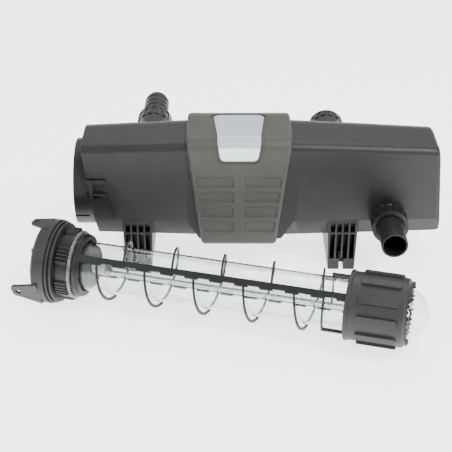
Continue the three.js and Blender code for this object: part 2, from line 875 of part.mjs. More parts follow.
// Clamp ring with ribbed grip pads between plain steps.
function clampRing() {
  const points = [];
  const slots = clamp.pads * 2;
  for (let i = 0; i < slots; i++) {
    const first = (2 * Math.PI * i) / slots;
    const sweep = (2 * Math.PI) / slots;
    if (i % 2) {
      for (const share of [0.02, 0.35, 0.68, 0.98]) points.push([clamp.stepRadius, first + share * sweep]);
    } else {
      for (let k = 0; k < clamp.ribs; k++) {
        const at = first + (sweep * k) / clamp.ribs;
        points.push([clamp.radius, at + 0.006], [clamp.radius, at + (sweep * 0.55) / clamp.ribs]);
        points.push([clamp.radius - clamp.ribDepth, at + (sweep * 0.8) / clamp.ribs]);
      }
    }
  }
  const shape = new THREE.Shape(points.map(([r, a]) => new THREE.Vector2(r * Math.cos(a), r * Math.sin(a))));
  const body = alongX(shape, clamp.start, clamp.start + clamp.length);
  const bore = head.spigotRadius + clamp.fit;
  return cut(body, turnedX(rodProfile(clamp.start - 1, clamp.start + clamp.length + 1, bore)));
}

const clampEnd = clamp.start + clamp.length;

function glassSealRing() {
  const inner = sleeve.radius + gap;
  const start = clampEnd + gap;
  const end = start + glassSeal.length;
  return turnedX([
    [start, inner],
    [start, glassSeal.radius - 1.5],
    [start + 1, glassSeal.radius],
    [end - 1.4, glassSeal.radius],
    [end, glassSeal.radius - 2],
    [end, inner],
    [start, inner],
  ]);
}

function quartzSleeve() {
  const inner = sleeve.radius - sleeve.wall;
  const centre = sleeve.end - sleeve.radius;
  const profile = [[sleeve.start, inner], [sleeve.start, sleeve.radius]];
  const steps = 6;
  for (let i = 0; i <= steps; i++) {
    const angle = (Math.PI / 2) * (i / steps);
    profile.push([centre + sleeve.radius * Math.sin(angle), i === steps ? 0 : sleeve.radius * Math.cos(angle)]);
  }
  const outer = turnedX([[sleeve.start, 0], ...profile.slice(1)]);
  const hollow = [[sleeve.start - 1, 0], [sleeve.start - 1, inner]];
  for (let i = 0; i <= steps; i++) {
    const angle = (Math.PI / 2) * (i / steps);
    hollow.push([centre + inner * Math.sin(angle), i === steps ? 0 : inner * Math.cos(angle)]);
  }
  return cut(outer, turnedX(hollow));
}

const lampPlane = turnX(bar.angle + 4);

function lampHolder() {
  const radius = sleeve.radius - sleeve.wall - holder.fit;
  const rod = turnedX([
    [holder.start, 0],
    [holder.start, radius],
    [holder.end - 1, radius],
    [holder.end, radius - 1],
    [holder.end, 0],
  ]);
  const half = holder.slotWidth / 2;
  const slot = box(
    holder.end - holder.slotDepth,
    holder.end + 1,
    -half,
    half,
    -holder.slotLength / 2,
    holder.slotLength / 2,
    lampPlane,
  );
  return cut(rod, slot);
}

function capsule(start, end, radius, sides) {
  const profile = [[start, 0], [start, radius]];
  for (const angle of [0, 30, 60]) {
    const bend = degrees(angle);
    profile.push([end - radius + radius * Math.sin(bend), radius * Math.cos(bend)]);
  }
  profile.push([end, 0]);
  return new THREE.LatheGeometry(profile.map(([along, r]) => new THREE.Vector2(r, along)), sides);
}

const lampStart = holder.end + gap + lamp.baseLength;

function uvLamp() {
  const tubes = [-1, 1].map((side) => {
    const place = lampPlane.clone().multiply(move(0, 0, (side * lamp.spacing) / 2)).multiply(ontoX);
    return solidFrom(capsule(lampStart + gap, lamp.end, lamp.tubeRadius, 16), place);
  });
  const bridgeAt = lampPlane.clone().multiply(move(lamp.end - 3 * lamp.bridgeRadius, 0, 0)).multiply(turnX(90));
  const half = lamp.spacing / 2;
  return join(...tubes, turned(rodProfile(-half, half, lamp.bridgeRadius), 12, bridgeAt));
}

function lampBase() {
  const halfWidth = lamp.baseWidth / 2;
  const halfDepth = lamp.baseDepth / 2;
  const round = halfDepth - 1;
  const shape = outline([
    [-halfDepth, -halfWidth, round],
    [halfDepth, -halfWidth, round],
    [halfDepth, halfWidth, round],
    [-halfDepth, halfWidth, round],
  ]);
  return alongX(shape, holder.end + gap, lampStart, lampPlane);
}

function controlBoard() {
  const halfWidth = board.width / 2;
  const x0 = head.cavityDepth - 2 - board.thickness;
  const plate = box(x0, x0 + board.thickness, -halfWidth, halfWidth, -board.length / 2, board.length / 2);
  const half = board.choke / 2;
  const choke = box(x0 - board.chokeHeight, x0 + 0.1, -half, half, -half, half);
  return join(plate, choke);
}

// ---------- cleaning rotor ----------

// Flat strip bent round the lamp axis, which climbs along the axis by an advance each turn.
// Angles run from straight up, through the front, to straight down.
function bentStrip({ start, advance = 0, from, to, margin = 0 }) {
  const inner = rib.inner - margin;
  const outer = rib.inner + rib.height + margin;
  const steps = Math.ceil((to - from) / degrees(10));
  const arc = (radius, share) => {
    const angle = from + (to - from) * share;
    return new THREE.Vector2(radius * Math.cos(angle), radius * Math.sin(angle));
  };
  const points = [];
  for (let k = 0; k <= steps; k++) points.push(arc(inner, 1 - k / steps));
  for (let k = 0; k <= steps; k++) points.push(arc(outer, k / steps));
  const geometry = extruded(new THREE.Shape(points.reverse()), rib.width + 2 * margin);
  const place = geometry.attributes.position;
  for (let i = 0; i < place.count; i++) {
    const a = place.getX(i);
    const b = place.getY(i);
    const turned = (Math.atan2(b, a) - from + 1e-4 + 4 * Math.PI) % (2 * Math.PI);
    const along = start - rib.width / 2 - margin + (advance * turned) / (2 * Math.PI);
    place.setXYZ(i, along + place.getZ(i), -b, a);
  }
  return solidFrom(geometry);
}

const barReach = bar.width / 2 / rib.inner;
const seatReach = barReach - rib.seat / rib.inner;

function cleaningRib(i, margin = 0) {
  const trim = seatReach - margin / rib.inner;
  const from = degrees(bar.angle) + trim;
  const to = degrees(bar.angle) + 2 * Math.PI - trim;
  return bentStrip({ start: rib.start + i * rib.pitch, advance: rib.advance, from, to, margin });
}

const barStart = endRing.start + endRing.length + gap;
const barEnd = turbine.start - gap;

// Strip that leaves a bar, bends round the sleeve and runs along to the turbine.
function turbineLink(angle, margin = 0) {
  const from = degrees(angle) + seatReach - margin / rib.inner;
  const to = degrees(angle + link.sweep);
  const arc = bentStrip({ start: link.start, from, to, margin });
  const half = link.width / 2 + margin;
  const x0 = link.start - rib.width / 2 - margin;
  const height = rib.inner + rib.height + margin;
  const run = box(x0, barEnd, -half, half, rib.inner - margin, height, turnX(angle + link.sweep));
  return join(arc, run);
}

// Flat bar whose lower edge is notched between its teeth.
function rotorBar(angle, edge) {
  const half = bar.width / 2;
  const points = [[barStart, -half], [barEnd, -half], [barEnd, half], [barStart, half]];
  const plate = alongZ(
    new THREE.Shape(points.map(([x, y]) => new THREE.Vector2(x, y))),
    bar.innerRadius,
    bar.innerRadius + bar.thickness,
    turnX(angle),
  );
  const tools = [];
  for (let i = 0; i < 2 * rib.count; i++) {
    const start = rib.start + 6 + (i * rib.pitch) / 2;
    const y0 = edge > 0 ? half - bar.notchDepth : -half - 1;
    const y1 = edge > 0 ? half + 1 : -half + bar.notchDepth;
    tools.push(box(start, start + bar.notchLength, y0, y1, 0, rib.inner * 2, turnX(angle)));
  }
  for (let i = 0; i < rib.count; i++) tools.push(cleaningRib(i, gap));
  return cut(plate, ...tools, turbineLink(angle, gap));
}

function rotorEndRing() {
  const inner = sleeve.radius + runningGap;
  const end = endRing.start + endRing.length;
  return turnedX([
    [endRing.start, inner],
    [endRing.start, endRing.radius - 1.5],
    [endRing.start + 1.5, endRing.radius],
    [end - 3.5, endRing.radius],
    [end - 3.5, endRing.radius - 1.6],
    [end, endRing.radius - 1.6],
    [end, inner],
    [endRing.start, inner],
  ]);
}

function turbineWheel() {
  const end = turbine.start + turbine.length;
  const inner = turbine.radius - turbine.wall;
  const drum = turnedX([
    [turbine.start, turbine.hubInner],
    [turbine.start, turbine.radius + turbine.lip],
    [turbine.start + turbine.lipWidth, turbine.radius + turbine.lip],
    [turbine.start + turbine.lipWidth, turbine.radius],
    [end - 4, turbine.radius],
    [end, turbine.radius - 4],
    [end, turbine.mouthRadius],
    [end - 4, turbine.mouthRadius],
    [end - 4, inner],
    [turbine.start + turbine.wall, inner],
    [turbine.start + turbine.wall, turbine.hubInner],
    [turbine.start, turbine.hubInner],
  ]);
  const fins = [];
  for (let i = 0; i < turbine.finCount; i++) {
    const x0 = turbine.start + turbine.finStart;
    const x1 = x0 + turbine.finLength;
    const half = turbine.finWidth / 2;
    const shape = outline([[x0, -half, 1.5], [x1, -half, half * 0.8], [x1, half, half * 0.8], [x0, half, 1.5]]);
    const turn = turnX((360 * i) / turbine.finCount + bar.angle);
    fins.push(alongZ(shape, inner + 1, turbine.radius + turbine.finRise, turn));
  }
  return join(drum, ...fins, toothRing(end));
}

// Saw teeth that stand on the end of the drum, round its mouth.
function toothRing(end) {
  const tip = end + turbine.toothDepth;
  const ring = turnedX(ringProfile(end - 0.5, tip, turbine.mouthRadius, turbine.mouthRadius + turbine.toothWall));
  const half = turbine.toothDepth / Math.SQRT2;
  const notches = [];
  for (let i = 0; i < turbine.teeth; i++) {
    const place = turnX((360 * i) / turbine.teeth).multiply(move(tip, 0, turbine.mouthRadius)).multiply(turnZ(45));
    notches.push(box(-half, half, -half, half, -5, turbine.toothWall + 5, place));
  }
  return cut(ring, ...notches);
}

// ---------- materials ----------

function surface(color, roughness, extra = {}) {
  return new THREE.MeshStandardMaterial({ color, roughness, metalness: 0, ...extra });
}

const charcoal = surface("#58575a", 0.5);
const charcoalDark = surface("#3f3f42", 0.55);
const stone = surface("#7b7d76", 0.6);
const silver = surface("#d9dadb", 0.35, { metalness: 0.3 });
const rubber = surface("#1d1d1f", 0.8);
const silicone = surface("#dcdcd6", 0.45);
const quartz = surface("#eef4f5", 0.05, { transparent: true, opacity: 0.3 });
const socketGrey = surface("#a3a5a6", 0.5);
const boardGreen = surface("#2f5a3c", 0.6);
const steel = surface("#b9babb", 0.35, { metalness: 0.9 });

// ---------- assembly ----------

const clarifier = new THREE.Group();
clarifier.position.set(foot.offset, -shell.depth / 2, 0);

addPiece(clarifier, "left_shell", leftShell(), charcoal);
addPiece(clarifier, "right_shell", rightShell(), charcoal);
addPiece(clarifier, "seam_gasket", seamGasket(), rubber);
addPiece(clarifier, "saddle_cover", saddleCover(), stone);
addPiece(clarifier, "badge_plate", badgePlate(), silver);
addPiece(clarifier, "head_latch", headLatch(), charcoal);
addPiece(clarifier, "left_foot", footSolid(-1), charcoal);
addPiece(clarifier, "right_foot", footSolid(1), charcoal);

function portGroup(port, facesFront) {
  const group = new THREE.Group();
  group.applyMatrix4(portMatrix(port, facesFront));
  clarifier.add(group);
  return group;
}

const front = portGroup(frontPort, true);
addPiece(front, "outlet_seal", unionSeal(frontPort), rubber);
addPiece(front, "outlet_tail", frontTail(), charcoal);
addPiece(front, "outlet_nut", unionNut(frontPort, union.tailRoot + union.lipFit, nutRadius), charcoal);

const inlet = portGroup(inletPort, false);
addPiece(inlet, "inlet_seal", unionSeal(inletPort), rubber);
addPiece(inlet, "inlet_tail", inletTail(), charcoal);
addPiece(inlet, "inlet_nut", unionNut(inletPort, union.tailRoot + union.lipFit, nutRadius), charcoal);

const spare = portGroup(sparePort, false);
addPiece(spare, "spare_seal", unionSeal(sparePort), rubber);
addPiece(spare, "spare_plug", sparePlug(), charcoalDark);
addPiece(spare, "spare_nut", unionNut(sparePort, union.tailRoot + union.lipFit, nutRadius), charcoal);

const lampUnit = new THREE.Group();
lampUnit.position.set(unit.x, unit.frontOffset, unit.axisHeight);
lampUnit.rotation.z = -degrees(unit.yaw);
clarifier.add(lampUnit);
addPiece(lampUnit, "head_body", headBody(), charcoal);
addPiece(lampUnit, "head_cover", headCoverShell(), charcoalDark);
screwPlaces().forEach((place, i) => {
  addPiece(lampUnit, `cover_screw_${i + 1}`, coverScrewSolid(place), steel);
});
addPiece(lampUnit, "flange_seal", flangeSeal(), rubber);
addPiece(lampUnit, "head_o_ring", headRing(), rubber);
addPiece(lampUnit, "clamp_ring", clampRing(), charcoalDark);
addPiece(lampUnit, "glass_seal", glassSealRing(), silicone);
addPiece(lampUnit, "quartz_sleeve", quartzSleeve(), quartz);
addPiece(lampUnit, "lamp_holder", lampHolder(), socketGrey);
addPiece(lampUnit, "lamp_base", lampBase(), silicone);
addPiece(lampUnit, "uv_lamp", uvLamp(), quartz);
addPiece(lampUnit, "control_board", controlBoard(), boardGreen);
addPiece(lampUnit, "rotor_end_ring", rotorEndRing(), charcoalDark);
addPiece(lampUnit, "rotor_bar_front", rotorBar(bar.angle, -1), charcoalDark);
addPiece(lampUnit, "rotor_bar_rear", rotorBar(bar.angle + 180, 1), charcoalDark);
for (let i = 0; i < rib.count; i++) addPiece(lampUnit, `cleaning_rib_${i + 1}`, cleaningRib(i), charcoal);
addPiece(lampUnit, "turbine_link_front", turbineLink(bar.angle), charcoal);
addPiece(lampUnit, "turbine_link_rear", turbineLink(bar.angle + 180), charcoal);
addPiece(lampUnit, "turbine_wheel", turbineWheel(), charcoal);

export default clarifier;
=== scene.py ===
import json
import math
import bmesh
import bpy
from mathutils import Matrix, Vector


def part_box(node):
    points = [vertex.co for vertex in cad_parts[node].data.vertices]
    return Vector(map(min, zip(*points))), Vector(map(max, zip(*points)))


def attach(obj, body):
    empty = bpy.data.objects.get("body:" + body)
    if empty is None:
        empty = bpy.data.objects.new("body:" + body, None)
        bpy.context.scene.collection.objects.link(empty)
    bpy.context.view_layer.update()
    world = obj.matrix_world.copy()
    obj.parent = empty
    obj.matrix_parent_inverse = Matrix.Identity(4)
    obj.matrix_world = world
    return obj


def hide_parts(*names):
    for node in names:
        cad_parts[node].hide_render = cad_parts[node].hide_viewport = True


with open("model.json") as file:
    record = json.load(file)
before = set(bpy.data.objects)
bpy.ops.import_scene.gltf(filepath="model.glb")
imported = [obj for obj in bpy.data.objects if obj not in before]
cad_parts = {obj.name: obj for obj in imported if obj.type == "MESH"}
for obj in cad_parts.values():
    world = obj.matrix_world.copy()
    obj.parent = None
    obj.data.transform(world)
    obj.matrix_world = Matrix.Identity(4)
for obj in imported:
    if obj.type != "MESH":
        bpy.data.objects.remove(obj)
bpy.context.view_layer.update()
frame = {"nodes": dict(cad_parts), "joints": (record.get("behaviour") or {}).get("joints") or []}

mm = 0.001
fullTurn = 2 * math.pi

# ---- places: the housing's front middle on the floor, and the lamp unit's axis
gasketLow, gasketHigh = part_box("seam_gasket")
housingDepth = 140
home = Matrix.Translation((
    (gasketLow.x + gasketHigh.x) / 2,
    (gasketLow.y + gasketHigh.y) / 2 - housingDepth * mm / 2,
    0,
))
rotorJoint = next(j for j in frame["joints"] if j["name"] == "rotor_spin")
rotorAxis = Vector(rotorJoint["axis"])
unitPlace = Matrix.Translation(rotorJoint["pos_m"]) @ Matrix.Rotation(math.atan2(rotorAxis.y, rotorAxis.x), 4, "Z")


# ---- small tools

def srgb(code):
    parts = [int(code[i:i + 2], 16) / 255 for i in (1, 3, 5)]
    linear = [c / 12.92 if c <= 0.04045 else ((c + 0.055) / 1.055) ** 2.4 for c in parts]
    return (*linear, 1)


def addNode(tree, kind, links=None, **settings):
    node = tree.nodes.new(kind)
    for name, value in settings.items():
        setattr(node, name, value)
    for name, value in (links or {}).items():
        if isinstance(value, bpy.types.NodeSocket):
            tree.links.new(value, node.inputs[name])
        else:
            node.inputs[name].default_value = value
    return node


def softened(corners, steps=6):
    # closed outline of (across, up, radius) corners, with its corners rounded
    points = []
    for i, (a, b, radius) in enumerate(corners):
        here = Vector((a, b))
        toLast = Vector(corners[i - 1][:2]) - here
        toNext = Vector(corners[(i + 1) % len(corners)][:2]) - here
        angle = toLast.angle(toNext, math.pi)
        if radius <= 0 or angle > 3.1:
            points.append(here)
            continue
        reach = min(radius / math.tan(angle / 2), 0.49 * toLast.length, 0.49 * toNext.length)
        radius = reach * math.tan(angle / 2)
        bisector = (toLast.normalized() + toNext.normalized()).normalized()
        centre = here + bisector * (radius / math.sin(angle / 2))
        start = here + toLast.normalized() * reach - centre
        end = here + toNext.normalized() * reach - centre
        sweep = math.atan2(start.x * end.y - start.y * end.x, start.dot(end))
        for k in range(steps + 1):
            points.append(centre + Matrix.Rotation(sweep * k / steps, 2) @ start)
    return points


def grown(corners, offset):
    # the same outline with every side moved outwards; corners run anticlockwise
    result = []
    for i, (a, b, radius) in enumerate(corners):
        here = Vector((a, b))
        one = (here - Vector(corners[i - 1][:2])).normalized()
        two = (Vector(corners[(i + 1) % len(corners)][:2]) - here).normalized()
        n1 = Vector((one.y, -one.x))
        n2 = Vector((two.y, -two.x))
        moved = here + (n1 + n2) * (offset / (1 + n1.dot(n2)))
        result.append((moved.x, moved.y, max(radius + offset, 0.4)))
    return result


def meshFrom(points, faces, place=None):
    # points in mm; the place matrix is in metres
    mesh = bpy.data.meshes.new("shape")
    mesh.from_pydata([Vector(p) * mm for p in points], [], faces)
    form = bmesh.new()
    form.from_mesh(mesh)
    bmesh.ops.remove_doubles(form, verts=form.verts, dist=1e-7)
    bmesh.ops.recalc_face_normals(form, faces=form.faces)
    form.to_mesh(mesh)
    form.free()
    if place is not None:
        mesh.transform(place)
    return mesh


def loft(rings, place=None, loop=False):
    # rings of equal length; closed by end faces, or run round into a loop
    count = len(rings[0])
    points = [p for ring in rings for p in ring]
    faces = []
    last = len(rings) if loop else len(rings) - 1
    for i in range(last):
        a = i * count
        b = ((i + 1) % len(rings)) * count
        for k in range(count):
            n = (k + 1) % count
            faces.append((a + k, a + n, b + n, b + k))
    if not loop:
        faces.append(tuple(range(count)))
        faces.append(tuple(range((len(rings) - 1) * count, len(rings) * count)))
    return meshFrom(points, faces, place)


def turned(profile, place=None, sides=96):
    # profile of (along, radius) points, a closed outline turned round the X axis
    points = []
    rows = []
    for x, r in profile:
        if r < 1e-6:
            rows.append([len(points)] * sides)
            points.append((x, 0, 0))
            continue
        rows.append(list(range(len(points), len(points) + sides)))
        for k in range(sides):
            angle = fullTurn * k / sides
            points.append((x, -r * math.sin(angle), r * math.cos(angle)))
    faces = []
    for i in range(len(rows)):
        a, b = rows[i], rows[(i + 1) % len(rows)]
        for k in range(sides):
            n = (k + 1) % sides
            face = []
            for corner in (a[k], a[n], b[n], b[k]):
                if corner not in face:
                    face.append(corner)
            if len(face) > 2:
                faces.append(tuple(face))
    return meshFrom(points, faces, place)


def radial(stations, place=None, sides=240):
    # stations of (along, radius), where a radius may be a function of the angle, run into a closed loop
    rings = []
    for x, radius in stations:
        ring = []
        for k in range(sides):
            angle = fullTurn * k / sides
            r = radius(angle) if callable(radius) else radius
            ring.append((x, -r * math.sin(angle), r * math.cos(angle)))
        rings.append(ring)
    return loft(rings, place, loop=True)


def plate(outline, low, high, toPoint, place=None):
    # flat plate from an outline; toPoint turns (a, b, height) into x, y, z
    return loft([[toPoint(p[0], p[1], h) for p in outline] for h in (low, high)], place)


def box(x0, x1, y0, y1, z0, z1, place=None):
    ring = [(x0, y0), (x1, y0), (x1, y1), (x0, y1)]
    return loft([[(a, b, z) for a, b in ring] for z in (z0, z1)], place)


def temporary(mesh):
    obj = bpy.data.objects.new("tool", mesh)
    bpy.context.scene.collection.objects.link(obj)
    return obj


def settled(obj):
    # every modifier applied: the evaluated mesh becomes the plain mesh
    bpy.context.view_layer.update()
    evaluated = obj.evaluated_get(bpy.context.evaluated_depsgraph_get())
    mesh = bpy.data.meshes.new_from_object(evaluated)
    obj.modifiers.clear()
    obj.data = mesh
    return mesh


def carved(mesh, tools, operation="DIFFERENCE"):
    obj = temporary(mesh)
    helpers = []
    for tool in tools:
        helper = temporary(tool)
        helpers.append(helper)
        modifier = obj.modifiers.new("cut", "BOOLEAN")
        modifier.operation = operation
        modifier.solver = "EXACT"
        modifier.object = helper
    result = settled(obj)
    for spare in [obj, *helpers]:
        bpy.data.objects.remove(spare)
    return result


def eased(mesh, width, segments=2, limit=32):
    # edges broken by a small bevel, width in mm
    obj = temporary(mesh)
    modifier = obj.modifiers.new("ease", "BEVEL")
    modifier.width = width * mm
    modifier.segments = segments
    modifier.limit_method = "ANGLE"
    modifier.angle_limit = math.radians(limit)
    result = settled(obj)
    bpy.data.objects.remove(obj)
    return result


def cadCopy(node):
    mesh = frame["nodes"][node].data.copy()
    mesh.materials.clear()
    form = bmesh.new()
    form.from_mesh(mesh)
    bmesh.ops.remove_doubles(form, verts=form.verts, dist=1e-6)
    bmesh.ops.dissolve_limit(form, angle_limit=math.radians(1), verts=form.verts, edges=form.edges)
    form.to_mesh(mesh)
    form.free()
    if "custom_normal" in mesh.attributes:
        mesh.attributes.remove(mesh.attributes["custom_normal"])
    return mesh


def addPiece(name, mesh, material, body, replaced=(), smooth=32):
    mesh.materials.clear()
    mesh.materials.append(material)
    mesh.name = name
    for polygon in mesh.polygons:
        polygon.material_index = 0
    mesh.shade_smooth()
    mesh.set_sharp_from_angle(angle=math.radians(smooth))
    obj = bpy.data.objects.new(name, mesh)
    bpy.context.scene.collection.objects.link(obj)
    flat = obj.modifiers.new("flat", "WEIGHTED_NORMAL")
    flat.keep_sharp = True
    settled(obj).name = name
    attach(obj, body)
    if replaced:
        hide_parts(*replaced)
    return obj


# one Geometry Nodes tree: copies of a piece in a row along and round the X axis
def rowTree():
    tree = bpy.data.node_groups.new("rowRoundAxis", "GeometryNodeTree")
    sockets = (
        ("Geometry", "NodeSocketGeometry"),
        ("Piece", "NodeSocketObject"),
        ("Count", "NodeSocketInt"),
        ("First turn", "NodeSocketFloat"),
        ("Turn step", "NodeSocketFloat"),
        ("Pitch", "NodeSocketFloat"),
        ("Material", "NodeSocketMaterial"),
    )
    for name, kind in sockets:
        tree.interface.new_socket(name, in_out="INPUT", socket_type=kind)
    tree.interface.new_socket("Geometry", in_out="OUTPUT", socket_type="NodeSocketGeometry")
    given = addNode(tree, "NodeGroupInput").outputs
    points = addNode(tree, "GeometryNodePoints", {"Count": given["Count"]})
    index = addNode(tree, "GeometryNodeInputIndex").outputs[0]
    turn = addNode(tree, "ShaderNodeMath", {0: index, 1: given["Turn step"], 2: given["First turn"]},
                   operation="MULTIPLY_ADD")
    along = addNode(tree, "ShaderNodeMath", {0: index, 1: given["Pitch"]}, operation="MULTIPLY")
    rotation = addNode(tree, "ShaderNodeCombineXYZ", {"X": turn.outputs[0]})
    offset = addNode(tree, "ShaderNodeCombineXYZ", {"X": along.outputs[0]})
    source = addNode(tree, "GeometryNodeObjectInfo", {"Object": given["Piece"]})
    copies = addNode(tree, "GeometryNodeInstanceOnPoints", {
        "Points": points.outputs[0],
        "Instance": source.outputs["Geometry"],
        "Rotation": rotation.outputs[0],
    })
    spread = addNode(tree, "GeometryNodeTranslateInstances", {
        "Instances": copies.outputs[0],
        "Translation": offset.outputs[0],
        "Local Space": False,
    })
    real = addNode(tree, "GeometryNodeRealizeInstances", {"Geometry": spread.outputs[0]})
    finished = addNode(tree, "GeometryNodeSetMaterial", {
        "Geometry": real.outputs[0],
        "Material": given["Material"],
    })
    addNode(tree, "NodeGroupOutput", {"Geometry": finished.outputs[0]})
    return tree


rowOfPieces = rowTree()


def repeated(mesh, material, count, turnStep=0.0, firstTurn=0.0, pitch=0.0, place=None):
    # mesh stands in the axis frame; turns in degrees, pitch in mm
    source = temporary(mesh)
    holder = temporary(bpy.data.meshes.new("row"))
    modifier = holder.modifiers.new("row", "NODES")
    modifier.node_group = rowOfPieces
    values = {
        "Piece": source,
        "Count": count,
        "First turn": math.radians(firstTurn),
        "Turn step": math.radians(turnStep),
        "Pitch": pitch * mm,
        "Material": material,
    }
    for item in rowOfPieces.interface.items_tree:
        if item.in_out == "INPUT" and item.name in values:
            modifier[item.identifier] = values[item.name]
    result = settled(holder)
    bpy.data.objects.remove(source)
    bpy.data.objects.remove(holder)
    if place is not None:
        result.transform(place)
    return result


# ---- materials


def newMaterial(name):
    material = bpy.data.materials.new(name)
    material.use_nodes = True
    tree = material.node_tree
    tree.nodes.clear()
    shader = addNode(tree, "ShaderNodeBsdfPrincipled")
    addNode(tree, "ShaderNodeOutputMaterial", {"Surface": shader.outputs[0]})
    where = addNode(tree, "ShaderNodeTexCoord").outputs["Object"]
    return material, tree, shader, where


def noiseAt(tree, where, size, stretch=(1, 1, 1), detail=3.0):
    # size in mm is the width of one patch of the pattern
    vector = addNode(tree, "ShaderNodeMapping", {"Vector": where, "Scale": stretch}).outputs[0]
    return addNode(tree, "ShaderNodeTexNoise", {
        "Vector": vector,
        "Scale": 1 / (size * mm),
        "Detail": detail,
        "Roughness": 0.6,
    }).outputs[0]


def spread(tree, value, low, high, fromLow=0.3, fromHigh=0.7):
    return addNode(tree, "ShaderNodeMapRange", {
        0: value, 1: fromLow, 2: fromHigh, 3: low, 4: high,
    }).outputs[0]


def between(tree, share, one, two):
    mix = addNode(tree, "ShaderNodeMix", {0: share}, data_type="RGBA")
    for index, colour in ((6, one), (7, two)):
        if isinstance(colour, bpy.types.NodeSocket):
            tree.links.new(colour, mix.inputs[index])
        else:
            mix.inputs[index].default_value = colour
    return mix.outputs[2]


def mouldedPlastic(name, light, dark, roughness, grain, relief, ior=1.5, speck=None, streak=(1, 1, 1)):
    # grain and relief in mm
    material, tree, shader, where = newMaterial(name)
    flow = noiseAt(tree, where, 45, streak, 2.0)
    colour = between(tree, spread(tree, flow, 0, 1), srgb(dark), srgb(light))
    fine = noiseAt(tree, where, grain, detail=2.0)
    if speck:
        colour = between(tree, spread(tree, fine, 0, 0.5, 0.55, 0.75), colour, srgb(speck))
    tree.links.new(colour, shader.inputs["Base Color"])
    handled = noiseAt(tree, where, 18, detail=4.0)
    tree.links.new(spread(tree, handled, roughness - 0.04, roughness + 0.05), shader.inputs["Roughness"])
    bump = addNode(tree, "ShaderNodeBump", {"Height": fine, "Strength": 0.5, "Distance": relief * mm})
    tree.links.new(bump.outputs[0], shader.inputs["Normal"])
    shader.inputs["IOR"].default_value = ior
    shader.inputs["Specular IOR Level"].default_value = 0.36
    return material


# Glass-filled polypropylene, moulded in a spark-eroded tool: a warm dark grey satin with a fine even grain.
# The real grain is about 0.15 mm; it is drawn at 0.9 mm so that it shows.
charcoal = mouldedPlastic("satinMouldedPolypropylene", "#1b1a1c", "#161517", 0.44, 0.9, 0.035,
                          streak=(0.35, 1, 1))

# The same plastic from a polished tool: the grip and running parts, darker and a little glossier.
charcoalDark = mouldedPlastic("polishedMouldedPolypropylene", "#151416", "#100f11", 0.38, 1.1, 0.015)

# The same plastic, painted lighter and warmer for the head and turbine: painted light that brightens these parts; a
# little rougher too.
charcoalPaintedLight = mouldedPlastic("paintedLightMouldedPolypropylene", "#29282a", "#222123", 0.48, 0.9, 0.04)

# ABS in a stone grey, moulded with a matt grain: light scatters softly with faint lighter specks.
stoneGrey = mouldedPlastic("grainedMouldedAbs", "#3c3d38", "#363732", 0.5, 0.8, 0.03, 1.54,
                           speck="#454641")

# Glass-filled nylon for the lamp socket: pale grey, dull, slightly mottled by the fibres.
socketGrey = mouldedPlastic("mouldedNylonSocket", "#67696a", "#585b5c", 0.5, 1.2, 0.02, 1.53)

# Glazed white PBT of a lamp cap: smooth and bright.
capWhite = mouldedPlastic("glossMouldedPbt", "#dcdcd6", "#d2d2cb", 0.28, 1.5, 0.01, 1.55)

# EPDM rubber, pressed in a mould: nearly black, dull, with a dusty bloom.
rubber = mouldedPlastic("pressedEpdmRubber", "#1c1c1d", "#141415", 0.72, 0.7, 0.03, 1.52, speck="#262626")


def silverLacquer():
    # ABS plate with a silver lacquer: pale, satin, with tiny flakes under a clear coat. The colour is near white on the
    # front and turns to a cooler grey above the bend, split by height.
    # Real flakes are about 0.05 mm; they are drawn at 0.6 mm.
    material, tree, shader, where = newMaterial("sprayedSilverLacquer")
    flakes = addNode(tree, "ShaderNodeTexVoronoi", {"Vector": where, "Scale": 1 / (0.6 * mm)}).outputs["Color"]
    bright = addNode(tree, "ShaderNodeSeparateColor", {"Color": flakes}).outputs[0]
    cloud = noiseAt(tree, where, 30)
    high = addNode(tree, "ShaderNodeSeparateXYZ", {"Vector": where}).outputs["Z"]
    field = spread(tree, high, 0, 1, 0.2115, 0.2130)
    base = between(tree, field, srgb("#f0f2f4"), srgb("#a9b4c0"))
    base = between(tree, spread(tree, cloud, 0, 0.12), base, srgb("#8f959c"))
    colour = between(tree, spread(tree, bright, 0, 0.3, 0.6, 1.0), base, srgb("#eef0f2"))
    tree.links.new(colour, shader.inputs["Base Color"])
    tree.links.new(spread(tree, bright, 0.3, 0.42, 0, 1), shader.inputs["Roughness"])
    bump = addNode(tree, "ShaderNodeBump", {"Height": bright, "Strength": 0.15, "Distance": 0.02 * mm})
    tree.links.new(bump.outputs[0], shader.inputs["Normal"])
    shader.inputs["Metallic"].default_value = 0.1
    shader.inputs["Coat Weight"].default_value = 0.4
    shader.inputs["Coat Roughness"].default_value = 0.15
    return material


def softSilicone():
    # Cast clear silicone: lets light through, with an uneven, rippled face. Its colour runs in patches from pale to
    # dark grey: painted reflection, the silvery play of light and dark in a clear ring.
    material, tree, shader, where = newMaterial("castSilicone")
    cloud = noiseAt(tree, where, 7)
    # pale-to-dark grey patches in the colour: painted reflection
    colour = between(tree, spread(tree, cloud, 0, 1), srgb("#d3d6d7"), srgb("#7d8183"))
    tree.links.new(colour, shader.inputs["Base Color"])
    tree.links.new(spread(tree, cloud, 0.08, 0.3), shader.inputs["Roughness"])
    bump = addNode(tree, "ShaderNodeBump", {"Height": cloud, "Strength": 0.6, "Distance": 0.9 * mm})
    tree.links.new(bump.outputs[0], shader.inputs["Normal"])
    shader.inputs["IOR"].default_value = 1.41
    shader.inputs["Transmission Weight"].default_value = 0.75
    return material


def drawnQuartz(name, tint, roughness):
    # Fused quartz drawn into tube: water-clear, with faint lines along the draw.
    material, tree, shader, where = newMaterial(name)
    lines = noiseAt(tree, where, 5, (0.02, 1, 1), 2.0)
    colour = between(tree, spread(tree, lines, 0, 1), srgb(tint), srgb("#ffffff"))
    tree.links.new(colour, shader.inputs["Base Color"])
    tree.links.new(spread(tree, lines, roughness, roughness + 0.008), shader.inputs["Roughness"])
    shader.inputs["IOR"].default_value = 1.458
    shader.inputs["Transmission Weight"].default_value = 1.0
    return material


